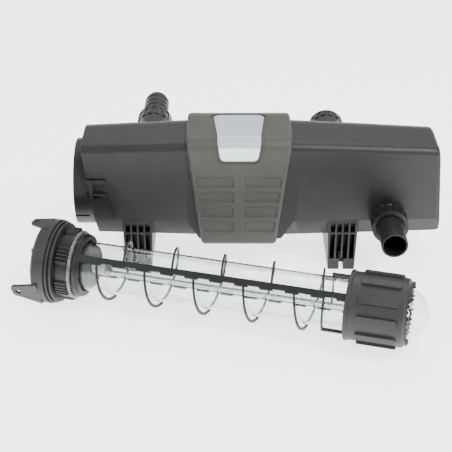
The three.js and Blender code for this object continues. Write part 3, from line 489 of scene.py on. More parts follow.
def lacqueredBoard():
    # Fibreglass board under solder resist: green, with lighter copper tracks about 2.5 mm apart.
    material, tree, shader, where = newMaterial("lacqueredCircuitBoard")
    tracks = addNode(tree, "ShaderNodeTexBrick", {
        "Vector": where,
        "Scale": 1 / (10 * mm),
        "Mortar Size": 0.06,
        "Color1": srgb("#2b5a3a"),
        "Color2": srgb("#2f6240"),
        "Mortar": srgb("#5c8a55"),
    }).outputs["Color"]
    tree.links.new(tracks, shader.inputs["Base Color"])
    cloud = noiseAt(tree, where, 6)
    tree.links.new(spread(tree, cloud, 0.25, 0.4), shader.inputs["Roughness"])
    bump = addNode(tree, "ShaderNodeBump", {"Height": cloud, "Strength": 0.2, "Distance": 0.05 * mm})
    tree.links.new(bump.outputs[0], shader.inputs["Normal"])
    return material


def rolledSteel():
    # A2 stainless steel, rolled and tumbled: bright, with small soft scratches.
    material, tree, shader, where = newMaterial("tumbledStainlessSteel")
    marks = noiseAt(tree, where, 1.2, (1, 4, 1), 4.0)
    colour = between(tree, spread(tree, marks, 0, 1), srgb("#c5c6c8"), srgb("#a9abad"))
    tree.links.new(colour, shader.inputs["Base Color"])
    tree.links.new(spread(tree, marks, 0.22, 0.42), shader.inputs["Roughness"])
    bump = addNode(tree, "ShaderNodeBump", {"Height": marks, "Strength": 0.2, "Distance": 0.01 * mm})
    tree.links.new(bump.outputs[0], shader.inputs["Normal"])
    shader.inputs["Metallic"].default_value = 1.0
    return material


silver = silverLacquer()
silicone = softSilicone()
quartz = drawnQuartz("drawnQuartzTube", "#e0eaea", 0.0)
lampQuartz = drawnQuartz("drawnQuartzLamp", "#f4f8f8", 0.0)
boardGreen = lacqueredBoard()
steel = rolledSteel()
print("materials made")


# ---- camera, floor and light

def setStage():
    camera = bpy.data.cameras.new("camera")
    camera.lens = 93.6
    camera.sensor_width = 36
    seat = bpy.data.objects.new("camera", camera)
    spot = Matrix.Translation((-0.0217, -1.5421, 0.9690))
    seat.matrix_world = home @ spot @ Matrix.Rotation(math.radians(60), 4, "X")
    bpy.context.scene.collection.objects.link(seat)
    bpy.context.scene.camera = seat

    size = 30
    mesh = bpy.data.meshes.new("floor")
    corners = [(-size, -size, 0), (size, -size, 0), (size, size, 0), (-size, size, 0)]
    mesh.from_pydata(corners, [], [(0, 1, 2, 3)])
    floor = bpy.data.objects.new("floor", mesh)
    material = bpy.data.materials.new("paleFloor")
    material.use_nodes = True
    shader = material.node_tree.nodes["Principled BSDF"]
    shader.inputs["Base Color"].default_value = (0.9, 0.9, 0.9, 1)
    shader.inputs["Roughness"].default_value = 0.7
    shader.inputs["Emission Color"].default_value = (1, 1, 1, 1)
    shader.inputs["Emission Strength"].default_value = 2.4
    mesh.materials.append(material)
    bpy.context.scene.collection.objects.link(floor)

    world = bpy.data.worlds.new("studio")
    world.use_nodes = True
    world.node_tree.nodes["Background"].inputs["Color"].default_value = (1, 1, 1, 1)
    world.node_tree.nodes["Background"].inputs["Strength"].default_value = 1.0
    bpy.context.scene.world = world

    lamps = (
        ("keyLight", (1.1, -1.2, 2.1), 1.0, 58),
        ("fillLight", (-1.7, -0.8, 1.4), 1.0, 14),
        ("topLight", (0.3, 0.9, 1.9), 1.2, 16),
    )
    for name, spot, width, power in lamps:
        light = bpy.data.lights.new(name, "AREA")
        light.shape = "SQUARE"
        light.size = width
        light.energy = power
        obj = bpy.data.objects.new(name, light)
        aim = Vector((0.15, 0, 0.1)) - Vector(spot)
        obj.matrix_world = Matrix.Translation(spot) @ aim.to_track_quat("-Z", "Y").to_matrix().to_4x4()
        bpy.context.scene.collection.objects.link(obj)


setStage()
print("stage set")


# ---- housing shells

housing = {
    "height": 165,
    "floorGap": 53,
    "bevelHeight": 32,
    "bevelInset": 15,
    "frontRound": 14,
    "backRound": 65,
    "wall": 4,
    "leftLength": 237,
    "rightLength": 300,
    "rightLean": 0.07,
    "taper": 0.00042,
    "endSlant": 7.3,
    "endRound": 7,
    "seam": 3,
    "collarRadius": 66,
    "collarWall": 4.2,
    "collarRise": 13.5,
    "slotWidth": 4.5,
    "slotLength": 22,
    "slotAngle": 26,
    "axisDepth": 70,
    "axisHeight": 120,
    "runoutTop": 81,
    "runoutFoot": 62,
}
taperDepth = 40
topHeight = housing["floorGap"] + housing["height"]


def section(inset, bevel=True):
    h = housing
    crease = h["floorGap"] + h["bevelHeight"]
    shared = [
        (housingDepth - h["bevelInset"], h["floorGap"], 6),
        (housingDepth, crease, 3),
        (housingDepth, topHeight, h["backRound"]),
        (0, topHeight, h["frontRound"]),
    ]
    if bevel:
        corners = [(h["bevelInset"], h["floorGap"], 5), *shared, (0, crease, 1.5)]
    else:
        corners = [(0, h["floorGap"], 3), *shared]
    return grown(corners, inset)


def scaleAt(x):
    return 1 - housing["taper"] * abs(x)


def bodyRing(outline, x, scale, lean=0.0):
    ring = []
    for y, z in outline:
        deep = taperDepth + (y - taperDepth) * scale
        high = housing["axisHeight"] + (z - housing["axisHeight"]) * scale
        ring.append((x + lean * (housing["axisHeight"] - high), deep, high))
    return ring


def alongAxis(profile, sides=96):
    place = home @ Matrix.Translation((0, housing["axisDepth"] * mm, housing["axisHeight"] * mm))
    return turned(profile, place, sides)


def bevelWedge(side):
    # cuts the belly facet, which runs out on a slant beside the saddle
    h = housing
    end = -h["leftLength"] - 60 if side < 0 else h["rightLength"] + 60
    crease = h["floorGap"] + h["bevelHeight"]
    low = h["floorGap"] - 25
    back = h["bevelInset"] * (crease - low) / h["bevelHeight"]
    slope = side * (h["runoutFoot"] - h["runoutTop"]) / h["bevelHeight"]
    rings = []
    for start, lean in ((side * h["runoutTop"], slope), (end, 0)):
        ring = []
        scale = scaleAt(start)
        for y, z in ((0, crease), (back, low), (-30, low), (-30, crease)):
            deep = taperDepth + (y - taperDepth) * scale
            ring.append((start + lean * (crease - z), deep, h["axisHeight"] + (z - h["axisHeight"]) * scale))
        rings.append(ring)
    return loft(rings, home)


union = {
    "bore": 18,
    "neckRadius": 23.5,
    "shoulder": 2.5,
    "shoulderFit": 1.5,
    "threadFit": 0.5,
    "nutWall": 3.6,
    "gripDepth": 1.4,
    "gripCount": 14,
    "tailFlange": 4,
    "tailBore": 16.5,
    "tailRoot": 20.2,
    "lipThickness": 3.6,
    "sealThickness": 2.5,
    "rimWidth": 4,
    "gap": 0.3,
}
ports = {
    "outlet": {"x": 223, "height": 93, "neck": 20, "nut": 24, "tail": 52, "mouth": 19.5, "front": True},
    "inlet": {"x": -136, "height": 170, "neck": 31, "nut": 28, "tail": 74, "mouth": 19.8, "front": False},
    "spare": {"x": 137, "height": 170, "neck": 12, "nut": 16, "tail": 0, "mouth": 16, "front": False},
}


def portPlace(port):
    # X of the piece points out of the port
    outwards = -math.pi / 2 if port["front"] else math.pi / 2
    deep = 0 if port["front"] else housingDepth
    spot = Matrix.Translation((port["x"] * mm, deep * mm, port["height"] * mm))
    return home @ spot @ Matrix.Rotation(outwards, 4, "Z")


def unionPlaces(port):
    u = union
    flange = port["neck"] + 2 * u["gap"] + u["sealThickness"]
    lip = flange + u["tailFlange"] + u["gap"]
    nutEnd = lip + u["lipThickness"]
    return {"flange": flange, "lip": lip, "nutEnd": nutEnd, "nutStart": nutEnd - port["nut"]}


def neckTools(port):
    u = union
    places = unionPlaces(port)
    shoulderEnd = places["nutStart"] - u["shoulderFit"]
    outer = u["neckRadius"] + u["shoulder"]
    body = turned([
        (-35, 0), (-35, outer), (shoulderEnd - 0.8, outer), (shoulderEnd, outer - 0.8),
        (shoulderEnd, u["neckRadius"]), (port["neck"], u["neckRadius"]), (port["neck"], 0),
    ], portPlace(port), 64)
    boreEnd = port["neck"] + 2
    bore = turned([(-60, 0), (-60, u["bore"]), (boreEnd, u["bore"]), (boreEnd, 0)], portPlace(port), 64)
    return body, bore


def alongDepth(x, z, y):
    return (x, y, z)


def leftShell():
    h = housing
    outline = softened(section(0, bevel=False), 10)
    start = -h["leftLength"] - 40
    middle = -h["seam"] / 2
    body = loft([bodyRing(outline, x, scaleAt(x)) for x in (start, -160, -80, middle)], home)
    slant = Matrix.Translation((-h["leftLength"] * mm, 0, topHeight * mm)) @ Matrix.Rotation(
        math.radians(-h["endSlant"]), 4, "Y")
    beyond = box(-300, 0, -300, 300, -400, 300, home @ slant)
    body = carved(body, [bevelWedge(-1), beyond])
    body = eased(body, 1.2, 3, 35)
    rim = -h["leftLength"] - h["collarRise"]
    collarEnd = -h["leftLength"] + 3 * h["collarRise"]
    inner = h["collarRadius"] - h["collarWall"]
    collar = alongAxis([
        (rim, 0), (rim, h["collarRadius"] - 1), (rim + 1, h["collarRadius"]),
        (collarEnd, h["collarRadius"]), (collarEnd, 0),
    ], 128)
    neck, bore = neckTools(ports["inlet"])
    body = carved(body, [collar, neck], "UNION")
    hollow = softened(section(-h["wall"]), 8)
    water = loft([bodyRing(hollow, x, scaleAt(x)) for x in (start, 1)], home)
    inside = box(h["wall"], 400, -300, 300, -400, 300, home @ slant)
    water = carved(water, [inside], "INTERSECT")
    way = alongAxis([(rim - 1, 0), (rim - 1, inner), (collarEnd - 4, inner), (collarEnd - 4, 0)], 128)
    axis = Matrix.Translation((0, h["axisDepth"] * mm, h["axisHeight"] * mm))
    turn = axis @ Matrix.Rotation(math.radians(h["slotAngle"]), 4, "X")
    half = h["slotWidth"] / 2
    slot = box(rim - 1, rim + h["slotLength"], -h["collarRadius"] - 10, -inner + 6, -half, half, home @ turn)
    latchPocket = box(-219.5, -206, -10, 5.3, 135, 149, home)
    body = carved(body, [water, way, bore, slot, latchPocket])
    # raised line along the slanted end
    line = plate([(-206, 152), (-190, 88), (-188.8, 88.3), (-204.8, 152.3)], -0.7, 2, alongDepth, home)
    return carved(body, [line], "UNION")


def rightShell():
    h = housing
    outline = softened(section(0, bevel=False), 10)
    end = h["rightLength"]
    stations = [(h["seam"] / 2, 1.0, 0.0), (90, scaleAt(90), 0.0), (190, scaleAt(190), 0.0)]
    for step in range(9):
        bend = math.radians(88) * step / 8
        shrink = h["endRound"] * (1 - math.cos(bend)) / (h["height"] / 2)
        x = end - h["endRound"] + h["endRound"] * math.sin(bend)
        stations.append((x, scaleAt(end) - shrink, h["rightLean"]))
    body = loft([bodyRing(outline, *station) for station in stations], home)
    body = carved(body, [bevelWedge(1)])
    outlet, outletBore = neckTools(ports["outlet"])
    spare, spareBore = neckTools(ports["spare"])
    body = carved(body, [outlet, spare], "UNION")
    hollow = softened(section(-h["wall"]), 8)
    water = loft([
        bodyRing(hollow, -1, 1.0),
        bodyRing(hollow, end - h["wall"], scaleAt(end), h["rightLean"]),
    ], home)
    return carved(body, [water, outletBore, spareBore])


addPiece("leftShell", leftShell(), charcoal, "housing", ["left_shell"])
addPiece("rightShell", rightShell(), charcoal, "housing", ["right_shell"])
addPiece("seamGasket", cadCopy("seam_gasket"), rubber, "housing", ["seam_gasket"])
print("shells made")


# ---- saddle cover and badge

saddle = {
    "offset": -2.3,
    "topHalf": 78.5,
    "bottomHalf": 57,
    "fit": 0.5,
    "rise": 6,
    "drop": 3,
    "hook": 24,
    "cornerRound": 9,
    "edgeRound": 5,
    "rows": 4,
    "rowHeight": 16.5,
    "rowPitch": 25.2,
    "topRow": 156,
    "margin": 8,
    "spine": 18,
    "panelDepth": 1.8,
    "draft": 1.3,
}
saddleOuter = saddle["fit"] + saddle["rise"]
saddleTop = topHeight + saddleOuter
saddleBottom = housing["floorGap"] - saddle["drop"]


def band(inset, reach=100):
    outline = softened(section(inset, bevel=False), 12)
    return loft([[(x, y, z) for y, z in outline] for x in (-reach, reach)], home)


def saddleHalf(z):
    share = (z - saddleBottom) / (saddleTop - saddleBottom)
    return saddle["bottomHalf"] + share * (saddle["topHalf"] - saddle["bottomHalf"])


def faceOutline(margin):
    s = saddle
    return softened([
        (-s["bottomHalf"] - margin, saddleBottom, s["cornerRound"]),
        (s["bottomHalf"] + margin, saddleBottom, s["cornerRound"]),
        (s["topHalf"] + margin, saddleTop + 4, 1),
        (-s["topHalf"] - margin, saddleTop + 4, 1),
    ], 8)


def roundedBand():
    # the band round the housing between two slanted sides, its long edges rounded over
    r = saddle["edgeRound"]
    rings = []
    for side in (-1, 1):
        for k in range(7)[::-side]:
            bend = math.pi / 2 * k / 6
            outline = softened(section(saddleOuter - r * (1 - math.sin(bend)), bevel=False), 12)
            inset = r * (1 - math.cos(bend))
            rings.append([(side * (saddleHalf(z) - inset), y, z) for y, z in outline])
    return loft(rings, home)


def saddlePanels():
    s = saddle
    tools = []
    for row in range(s["rows"]):
        middle = s["topRow"] - row * s["rowPitch"]
        low = middle - s["rowHeight"] / 2
        high = middle + s["rowHeight"] / 2
        for side in (-1, 1):
            corners = [
                (s["spine"] / 2, low, 2),
                (saddleHalf(low) - s["margin"], low, 2),
                (saddleHalf(high) - s["margin"], high, 2),
                (s["spine"] / 2, high, 2),
            ]
            if side < 0:
                corners = [(-x, z, r) for x, z, r in reversed(corners)]
            rings = []
            for y, margin in ((-20, s["draft"]), (0, s["draft"]), (s["panelDepth"], 0)):
                rings.append([(x, y - saddleOuter, z) for x, z in softened(grown(corners, margin), 4)])
            tools.append(loft(rings, home))
    return tools


def badgeOutline(margin):
    b = badge
    face = [
        (-b["endHalf"] - margin, saddleTop - b["drop"] - margin, b["cornerRound"] + margin),
        (b["endHalf"] + margin, saddleTop - b["drop"] - margin, b["cornerRound"] + margin),
        (b["bendHalf"] + margin, saddleTop - 6, 3),
        (b["bendHalf"] + 1 + margin, saddleTop + 12, 0),
        (-b["bendHalf"] - 1 - margin, saddleTop + 12, 0),
        (-b["bendHalf"] - margin, saddleTop - 6, 3),
    ]
    return softened(face, 6)


badge = {
    "backHalf": 39,
    "bendHalf": 32,
    "endHalf": 27.5,
    "drop": 33,
    "run": 84,
    "recess": 2,
    "rise": 0.5,
    "fit": 0.4,
    "cornerRound": 8,
    "backRound": 11,
    "moatWidth": 4.5,
    "moatDepth": 1.2,
    "frontReach": 12,
}


def badgeRegion(margin):
    # the front tongue and the top field, as one upright block each
    b = badge
    tongue = plate(badgeOutline(margin), -40, b["frontReach"], alongDepth, home)
    field = [
        (-b["bendHalf"] - margin, b["frontReach"] - 4, 1),
        (b["bendHalf"] + margin, b["frontReach"] - 4, 1),
        (b["backHalf"] + margin, b["run"] + margin, b["backRound"]),
        (-b["backHalf"] - margin, b["run"] + margin, b["backRound"]),
    ]
    top = plate(softened(field, 6), saddleTop - 20, saddleTop + 30, lambda x, y, z: (x, y, z), home)
    return carved(tongue, [top], "UNION")


def shifted(mesh):
    mesh.transform(home @ Matrix.Translation((saddle["offset"] * mm, 0, 0)) @ home.inverted())
    return mesh


def saddleCover():
    s = saddle
    whole = carved(roundedBand(), [plate(faceOutline(0.05), -200, 300, alongDepth, home)], "INTERSECT")
    whole = eased(whole, 1.2, 3, 50)
    opening = box(-200, 200, s["hook"], housingDepth - s["hook"], -50, housing["axisHeight"], home)
    body = carved(carved(whole, [band(s["fit"], 140), opening]), saddlePanels())
    moat = carved(badgeRegion(badge["moatWidth"]), [band(saddleOuter - badge["moatDepth"], 120)])
    pocket = carved(badgeRegion(0), [band(saddleOuter - badge["recess"], 120)])
    return shifted(eased(carved(carved(body, [moat]), [pocket]), 0.6, 2, 35))


def badgePlate():
    b = badge
    layer = carved(band(saddleOuter + b["rise"], 60), [band(saddleOuter - b["recess"] + union["gap"], 80)])
    return shifted(eased(carved(layer, [badgeRegion(-b["fit"])], "INTERSECT"), 0.7, 3, 35))


addPiece("saddleCover", saddleCover(), stoneGrey, "housing", ["saddle_cover"])
addPiece("badgePlate", badgePlate(), silver, "housing", ["badge_plate"])
print("saddle made")


# ---- latch and feet

addPiece("headLatch", eased(cadCopy("head_latch"), 0.5), charcoal, "latch", ["head_latch"])
addPiece("leftFoot", eased(cadCopy("left_foot"), 0.4), charcoal, "housing", ["left_foot"])
addPiece("rightFoot", eased(cadCopy("right_foot"), 0.4), charcoal, "housing", ["right_foot"])


# ---- pipe unions

def fluted(outer, depth, count):
    def radiusAt(angle):
        wave = math.cos(count * angle)
        valley = min(max((wave + 0.2) / 0.35, 0), 1)
        valley = valley * valley * (3 - 2 * valley)
        return outer - depth * valley
    return radiusAt


def unionNut(port):
    u = union
    places = unionPlaces(port)
    bore = u["neckRadius"] + u["threadFit"]
    outer = bore + u["nutWall"]
    start, end = places["nutStart"], places["nutEnd"]
    rim = end - u["rimWidth"]
    stations = [
        (start, fluted(outer - 0.8, u["gripDepth"], u["gripCount"])),
        (start + 0.8, fluted(outer, u["gripDepth"], u["gripCount"])),
        (rim - 1, fluted(outer, u["gripDepth"], u["gripCount"])),
        (rim, outer),
        (end - 1.2, outer),
        (end - 0.4, outer - 0.4),
        (end, outer - 1.2),
        (end, u["tailRoot"] + 1.2),
        (end - 0.8, u["tailRoot"] + 0.4),
        (places["lip"], u["tailRoot"] + 0.4),
        (places["lip"], bore),
        (start, bore),
    ]
    return radial(stations, portPlace(port), u["gripCount"] * 16)


def hoseTail(port, rings):
    u = union
    places = unionPlaces(port)
    flange, lip = places["flange"], places["lip"]
    end = places["nutEnd"] + port["tail"]
    mouth = port["mouth"]
    corners = [
        (flange, u["tailBore"], 0.3),
        (flange, u["neckRadius"] - u["gap"], 0.3),
        (lip - u["gap"], u["neckRadius"] - u["gap"], 0.3),
        (lip - u["gap"], u["tailRoot"], 0.5),
    ]
    if rings:
        corners.append((places["nutEnd"] + 4, u["tailRoot"], 0.8))
        for i in (3, 2, 1):
            stepEnd = end - (i - 1) * 15 - 3
            corners.append((stepEnd - 12, mouth - 1.6, 0.5))
            corners.append((stepEnd - 11, mouth, 0.6))
            corners.append((stepEnd - 3, mouth, 0.8))
            corners.append((stepEnd, mouth - 1.6, 0.5))
        corners.append((end, mouth - 1.6, 0.7))
    else:
        corners.append((places["nutEnd"] + 6, u["tailRoot"], 3))
        corners.append((end, mouth, 0.8))
    corners.append((end, u["tailBore"], 0.6))
    return turned(softened(corners, 3), portPlace(port), 80)


def unionSeal(port):
    u = union
    start = port["neck"] + u["gap"]
    end = start + u["sealThickness"]
    inner, outer = u["bore"] + u["gap"], u["neckRadius"] - u["gap"]
    ring = [(start, inner, 0.5), (start, outer, 0.5), (end, outer, 0.5), (end, inner, 0.5)]
    return turned(softened(ring, 3), portPlace(port), 64)


def sparePlug(port):
    u = union
    places = unionPlaces(port)
    face = places["nutEnd"]
    return turned(softened([
        (places["flange"], 0, 0),
        (places["flange"], u["neckRadius"] - u["gap"], 0.4),
        (places["lip"] - u["gap"], u["neckRadius"] - u["gap"], 0.4),
        (places["lip"] - u["gap"], u["tailRoot"], 0.4),
        (face, u["tailRoot"], 1),
        (face + 2.5, 16, 1.2),
        (face + 2.5, 13, 0.5),
        (face + 1.3, 12.4, 0.5),
        (face + 1.3, 0, 0),
    ], 4), portPlace(port), 80)


for portName, port in ports.items():
    base = "spare_stopper" if portName == "spare" else portName + "_pipe"
    addPiece(portName + "Nut", unionNut(port), charcoal, portName + "_union", [portName + "_nut"])
    addPiece(portName + "Seal", unionSeal(port), rubber, base, [portName + "_seal"])
addPiece("outletTail", hoseTail(ports["outlet"], False), charcoal, "outlet_pipe", ["outlet_tail"])
addPiece("inletTail", hoseTail(ports["inlet"], True), charcoal, "inlet_pipe", ["inlet_tail"])
addPiece("sparePlug", sparePlug(ports["spare"]), charcoalDark, "spare_stopper", ["spare_plug"])
print("unions made")


# ---- lamp head

head = {
    "flangeRadius": 62,
    "flangeLength": 18.5,
    "bandRadius": 60.5,
    "noseRadius": 58.5,
    "ringLength": 3,
    "grooveLength": 2.5,
    "grooveRadius": 54.6,
    "sealRadius": 57.5,
    "sealLength": 2,
    "spigotRadius": 46,
    "spigotEnd": 48.4,
    "cavityRadius": 49,
    "cavityDepth": 11,
    "bulkhead": 5,
    "bore": 36.8,
}
bandStart = head["flangeLength"] + head["sealLength"]
bandEnd = bandStart + head["ringLength"]
grooveEnd = bandEnd + head["grooveLength"]
noseEnd = grooveEnd + head["ringLength"]


def headBody():
    h = head
    corners = [
        (h["cavityDepth"], 0, 0),
        (h["cavityDepth"], h["cavityRadius"], 2),
        (0, h["cavityRadius"], 0.6),
        (0, h["flangeRadius"], 3),
        (h["flangeLength"], h["flangeRadius"], 0.8),
        (h["flangeLength"], h["sealRadius"], 0.3),
        (bandStart, h["sealRadius"], 0.3),
        (bandStart, h["bandRadius"], 0.6),
        (bandEnd, h["bandRadius"], 0.6),
        (bandEnd, h["grooveRadius"], 0.5),
        (grooveEnd, h["grooveRadius"], 0.5),
        (grooveEnd, h["noseRadius"], 0.5),
        (noseEnd, h["noseRadius"], 1),
        (noseEnd, h["spigotRadius"], 0.6),
        (h["spigotEnd"], h["spigotRadius"], 0.8),
        (h["spigotEnd"], h["bore"], 0.6),
        (h["cavityDepth"] + h["bulkhead"], h["bore"], 0.5),
        (h["cavityDepth"] + h["bulkhead"], 0, 0),
    ]
    return turned(softened(corners, 4), unitPlace, 128)


lugs = {
    "lower": {"angle": 114, "length": 34, "tip": 21, "root": 48, "hole": 4.2, "thickness": 4},
    "upper": {"angle": -3, "length": 19, "tip": 15, "root": 34, "hole": 3.2, "thickness": 4},
}


def lugPlate(size):
    h = head
    half = size["tip"] / 2
    shape = softened([
        (-size["length"], -half, half * 0.75),
        (h["flangeLength"] / 2, -size["root"] / 2, 1),
        (h["flangeLength"] / 2, size["root"] / 2, 1),
        (-size["length"], half, half * 0.75),
    ], 6)
    place = unitPlace @ Matrix.Rotation(math.radians(size["angle"]), 4, "X")
    high = h["flangeRadius"] - 0.5
    body = plate(shape, high - size["thickness"], high, lambda x, y, z: (x, y, z), place)
    hole = []
    for k in range(24):
        angle = fullTurn * k / 24
        hole.append((-size["length"] + half + size["hole"] * math.cos(angle), size["hole"] * math.sin(angle)))
    body = carved(body, [plate(hole, high - 20, high + 20, lambda x, y, z: (x, y, z), place)])
    return eased(body, 0.8, 3)


addPiece("headBody", headBody(), charcoalPaintedLight, "lamp_unit", ["head_body"])
addPiece("headLowerLug", lugPlate(lugs["lower"]), charcoalPaintedLight, "lamp_unit")
addPiece("headUpperLug", lugPlate(lugs["upper"]), charcoalPaintedLight, "lamp_unit")

cover = {"radius": 55.5, "thickness": 3, "dome": 5, "screwRing": 51.8, "screwHead": 3.3, "screwCount": 4}


def headCover():
    c = cover
    face = -0.3 - c["thickness"]
    backFace = face - c["dome"]
    return turned(softened([
        (backFace, 0, 0),
        (backFace, 12, 0.4), (backFace + 0.8, 12.6, 0.4), (backFace + 0.8, 15, 0.4), (backFace, 15.6, 0.4),
        (backFace, c["radius"] - 20, 2),
        (face, c["radius"] - 10, 2),
        (face, c["radius"], 1),
        (-0.3, c["radius"], 0.5),
        (-0.3, c["radius"] - 11, 1),
        (backFace + c["thickness"], c["radius"] - 21, 1),
        (backFace + c["thickness"], 0, 0),
    ], 4), unitPlace, 128)


def coverScrews():
    c = cover
    seat = -0.6 - c["thickness"]
    spot = Matrix.Translation((0, 0, c["screwRing"] * mm))
    screw = turned(softened([
        (seat - 2.4, 0, 0), (seat - 2.4, c["screwHead"], 1.4), (seat, c["screwHead"], 0.2),
        (seat, 1.6, 0.1), (seat + 12, 1.6, 0.3), (seat + 12, 0, 0),
    ], 4), spot, 24)
    recess = carved(
        box(seat - 4, seat - 1.2, -0.5, 0.5, -1.9, 1.9, spot),
        [box(seat - 4, seat - 1.2, -1.9, 1.9, -0.5, 0.5, spot)],
        "UNION",
    )
    screw = carved(screw, [recess])
    return repeated(screw, steel, c["screwCount"], 90, 45, 0, unitPlace)


addPiece("headCover", headCover(), charcoalDark, "lamp_unit", ["head_cover"])
addPiece("coverScrews", coverScrews(), steel, "lamp_unit", [f"cover_screw_{i}" for i in range(1, 5)])


def roundRing(start, end, inner, outer, rounding, sides=96):
    corners = [(start, inner, rounding), (start, outer, rounding), (end, outer, rounding), (end, inner, rounding)]
    return turned(softened(corners, 5), unitPlace, sides)


sealThick = head["grooveLength"] / 2
addPiece("flangeSeal", roundRing(head["flangeLength"] + 0.3, bandStart - 0.3, head["sealRadius"] + 0.3,
                                 head["bandRadius"] - 0.4, 0.8), rubber, "lamp_unit", ["flange_seal"])
addPiece("headRing", roundRing(bandEnd + 0.2, grooveEnd - 0.2, head["grooveRadius"] + 0.3,
                               head["grooveRadius"] + 0.3 + 2 * sealThick - 0.2, 1.45), rubber, "lamp_unit",
         ["head_o_ring"])

clamp = {
    "start": 31.5,
    "length": 17.6,
    "radius": 53.5,
    "stepRadius": 49.2,
    "bore": 46.6,
    "pads": 6,
    "ribs": 5,
    "ribDepth": 2,
}


def clampRing():
    c = clamp
    slots = c["pads"] * 2

    def grip(shrink):
        def radiusAt(angle):
            # the angle runs from the top through the front, the pads from the near side
            place = ((angle - math.pi / 2) % fullTurn) / fullTurn * slots
            share = place % 1
            if int(place) % 2:
                side = min(share, 1 - share) / 0.04
                rise = 0 if side > 1 else 1 - side
                return c["stepRadius"] + (c["radius"] - c["stepRadius"] - c["ribDepth"]) * rise - shrink
            wave = 0.5 + 0.5 * math.cos(fullTurn * c["ribs"] * share)
            return c["radius"] - c["ribDepth"] * wave ** 2 - shrink
        return radiusAt

    start, end = c["start"], c["start"] + c["length"]
    return radial([
        (start, grip(1)), (start + 1, grip(0)), (end - 1.6, grip(0)), (end - 0.6, grip(0.5)), (end, grip(1.6)),
        (end, c["bore"] + 0.5), (end - 0.5, c["bore"]), (start + 0.5, c["bore"]), (start, c["bore"] + 0.5),
    ], unitPlace, 720)


addPiece("clampRing", clampRing(), charcoalDark, "sleeve_clamp", ["clamp_ring"])

glass = {"radius": 36, "wall": 2, "start": 20, "end": 563, "sealLength": 4.4, "sealRadius": 50}


def glassSeal():
    start = clamp["start"] + clamp["length"] + 0.3
    return roundRing(start, start + glass["sealLength"], glass["radius"] + 0.3, glass["sealRadius"], 1.5, 128)


def domed(start, end, radius, steps=20):
    profile = [(start, radius)]
    for k in range(steps + 1):
        bend = math.pi / 2 * k / steps
        across = radius * math.cos(bend) if k < steps else 0
        profile.append((end - radius + radius * math.sin(bend), across))
    return profile


def quartzSleeve():
    g = glass
    inner = g["radius"] - g["wall"]
    outside = domed(g["start"], g["end"], g["radius"])
    inside = domed(g["start"], g["end"] - g["wall"], inner)
    return turned(outside + inside[::-1], unitPlace, 96)


addPiece("glassSeal", glassSeal(), silicone, "lamp_unit", ["glass_seal"])
addPiece("quartzSleeve", quartzSleeve(), quartz, "lamp_unit", ["quartz_sleeve"], smooth=60)
print("head made")

holder = {"radius": 31, "start": 24, "end": 76, "plane": 49, "slotWidth": 7, "slotLength": 34, "slotDepth": 5}
lamp = {"tube": 8, "tubeWall": 0.7, "spacing": 20, "base": 20, "baseWidth": 38, "baseDepth": 19, "end": 532}


def lampHolder():
    h = holder
    rod = turned(softened([
        (h["start"], 0, 0),
        (h["start"], h["radius"], 1),
        (h["end"], h["radius"], 1.5),
        (h["end"], h["radius"] - 4, 0.5),
        (h["end"] - 1, h["radius"] - 4.5, 0.5),
        (h["end"] - 1, 0, 0),
    ], 4), unitPlace, 96)
    place = unitPlace @ Matrix.Rotation(math.radians(h["plane"]), 4, "X")
    across, along = h["slotWidth"] / 2, h["slotLength"] / 2
    shape = softened([(-across, -along, 3), (across, -along, 3), (across, along, 3), (-across, along, 3)], 5)
    slot = plate(shape, h["end"] - h["slotDepth"], h["end"] + 1, lambda y, z, x: (x, y, z), place)
    return carved(rod, [slot])


def lampBase():
    place = unitPlace @ Matrix.Rotation(math.radians(holder["plane"]), 4, "X")
    y, z = lamp["baseDepth"] / 2, lamp["baseWidth"] / 2
    shape = [(-y, -z, 8.5), (y, -z, 8.5), (y, z, 8.5), (-y, z, 8.5)]
    start = holder["end"] + 0.3
    end = start + lamp["base"]
    rings = []
    for x, inset in ((start, 0.6), (start + 0.6, 0), (end - 8, 0), (end - 7.4, 0.8), (end - 6, 0.8), (end - 5.4, 0),
                     (end - 1, 0), (end, 1)):
        rings.append([(x, a, b) for a, b in softened(grown(shape, -inset), 8)])
    return loft(rings, place)


def lampTubes():
    # two thin-walled tubes with domed ends, joined by a short bridge near their tips
    l = lamp
    place = unitPlace @ Matrix.Rotation(math.radians(holder["plane"]), 4, "X")
    start = holder["end"] + 0.6 + l["base"]
    cross = place @ Matrix.Translation(((l["end"] - 12) * mm, 0, 0)) @ Matrix.Rotation(math.pi / 2, 4, "Y")

    def solid(wall):
        radius = l["tube"] - wall
        outline = domed(start + wall, l["end"] - wall, radius, 10) + [(start + wall, 0)]
        spots = [place @ Matrix.Translation((0, 0, side * l["spacing"] / 2 * mm)) for side in (-1, 1)]
        tubes = [turned(outline, spot, 40) for spot in spots]
        bridge = turned([(-10, 0), (-10, 4 - wall), (10, 4 - wall), (10, 0)], cross, 24)
        return carved(tubes[0], [tubes[1], bridge], "UNION")
    return carved(solid(0), [solid(l["tubeWall"])])


addPiece("lampHolder", lampHolder(), socketGrey, "lamp_unit", ["lamp_holder"])
addPiece("controlBoard", eased(cadCopy("control_board"), 0.3), boardGreen, "lamp_unit", ["control_board"])
addPiece("lampBase", lampBase(), capWhite, "lamp_unit", ["lamp_base"])
addPiece("lampTubes", lampTubes(), lampQuartz, "lamp_unit", ["uv_lamp"])
print("lamp made")


# ---- cleaning rotor

rotor = {
    "ringStart": 54,
    "ringLength": 11,
    "ringRadius": 46,
    "ringInner": 37.2,
    "ribInner": 41,
    "ribHeight": 4.4,
    "ribWidth": 3,
    "ribCount": 5,
    "ribStart": 91.5,
    "ribPitch": 71.5,
    "ribAdvance": 40,
    "barAngle": 45,
    "barWidth": 11,
    "barSeat": 3,
}


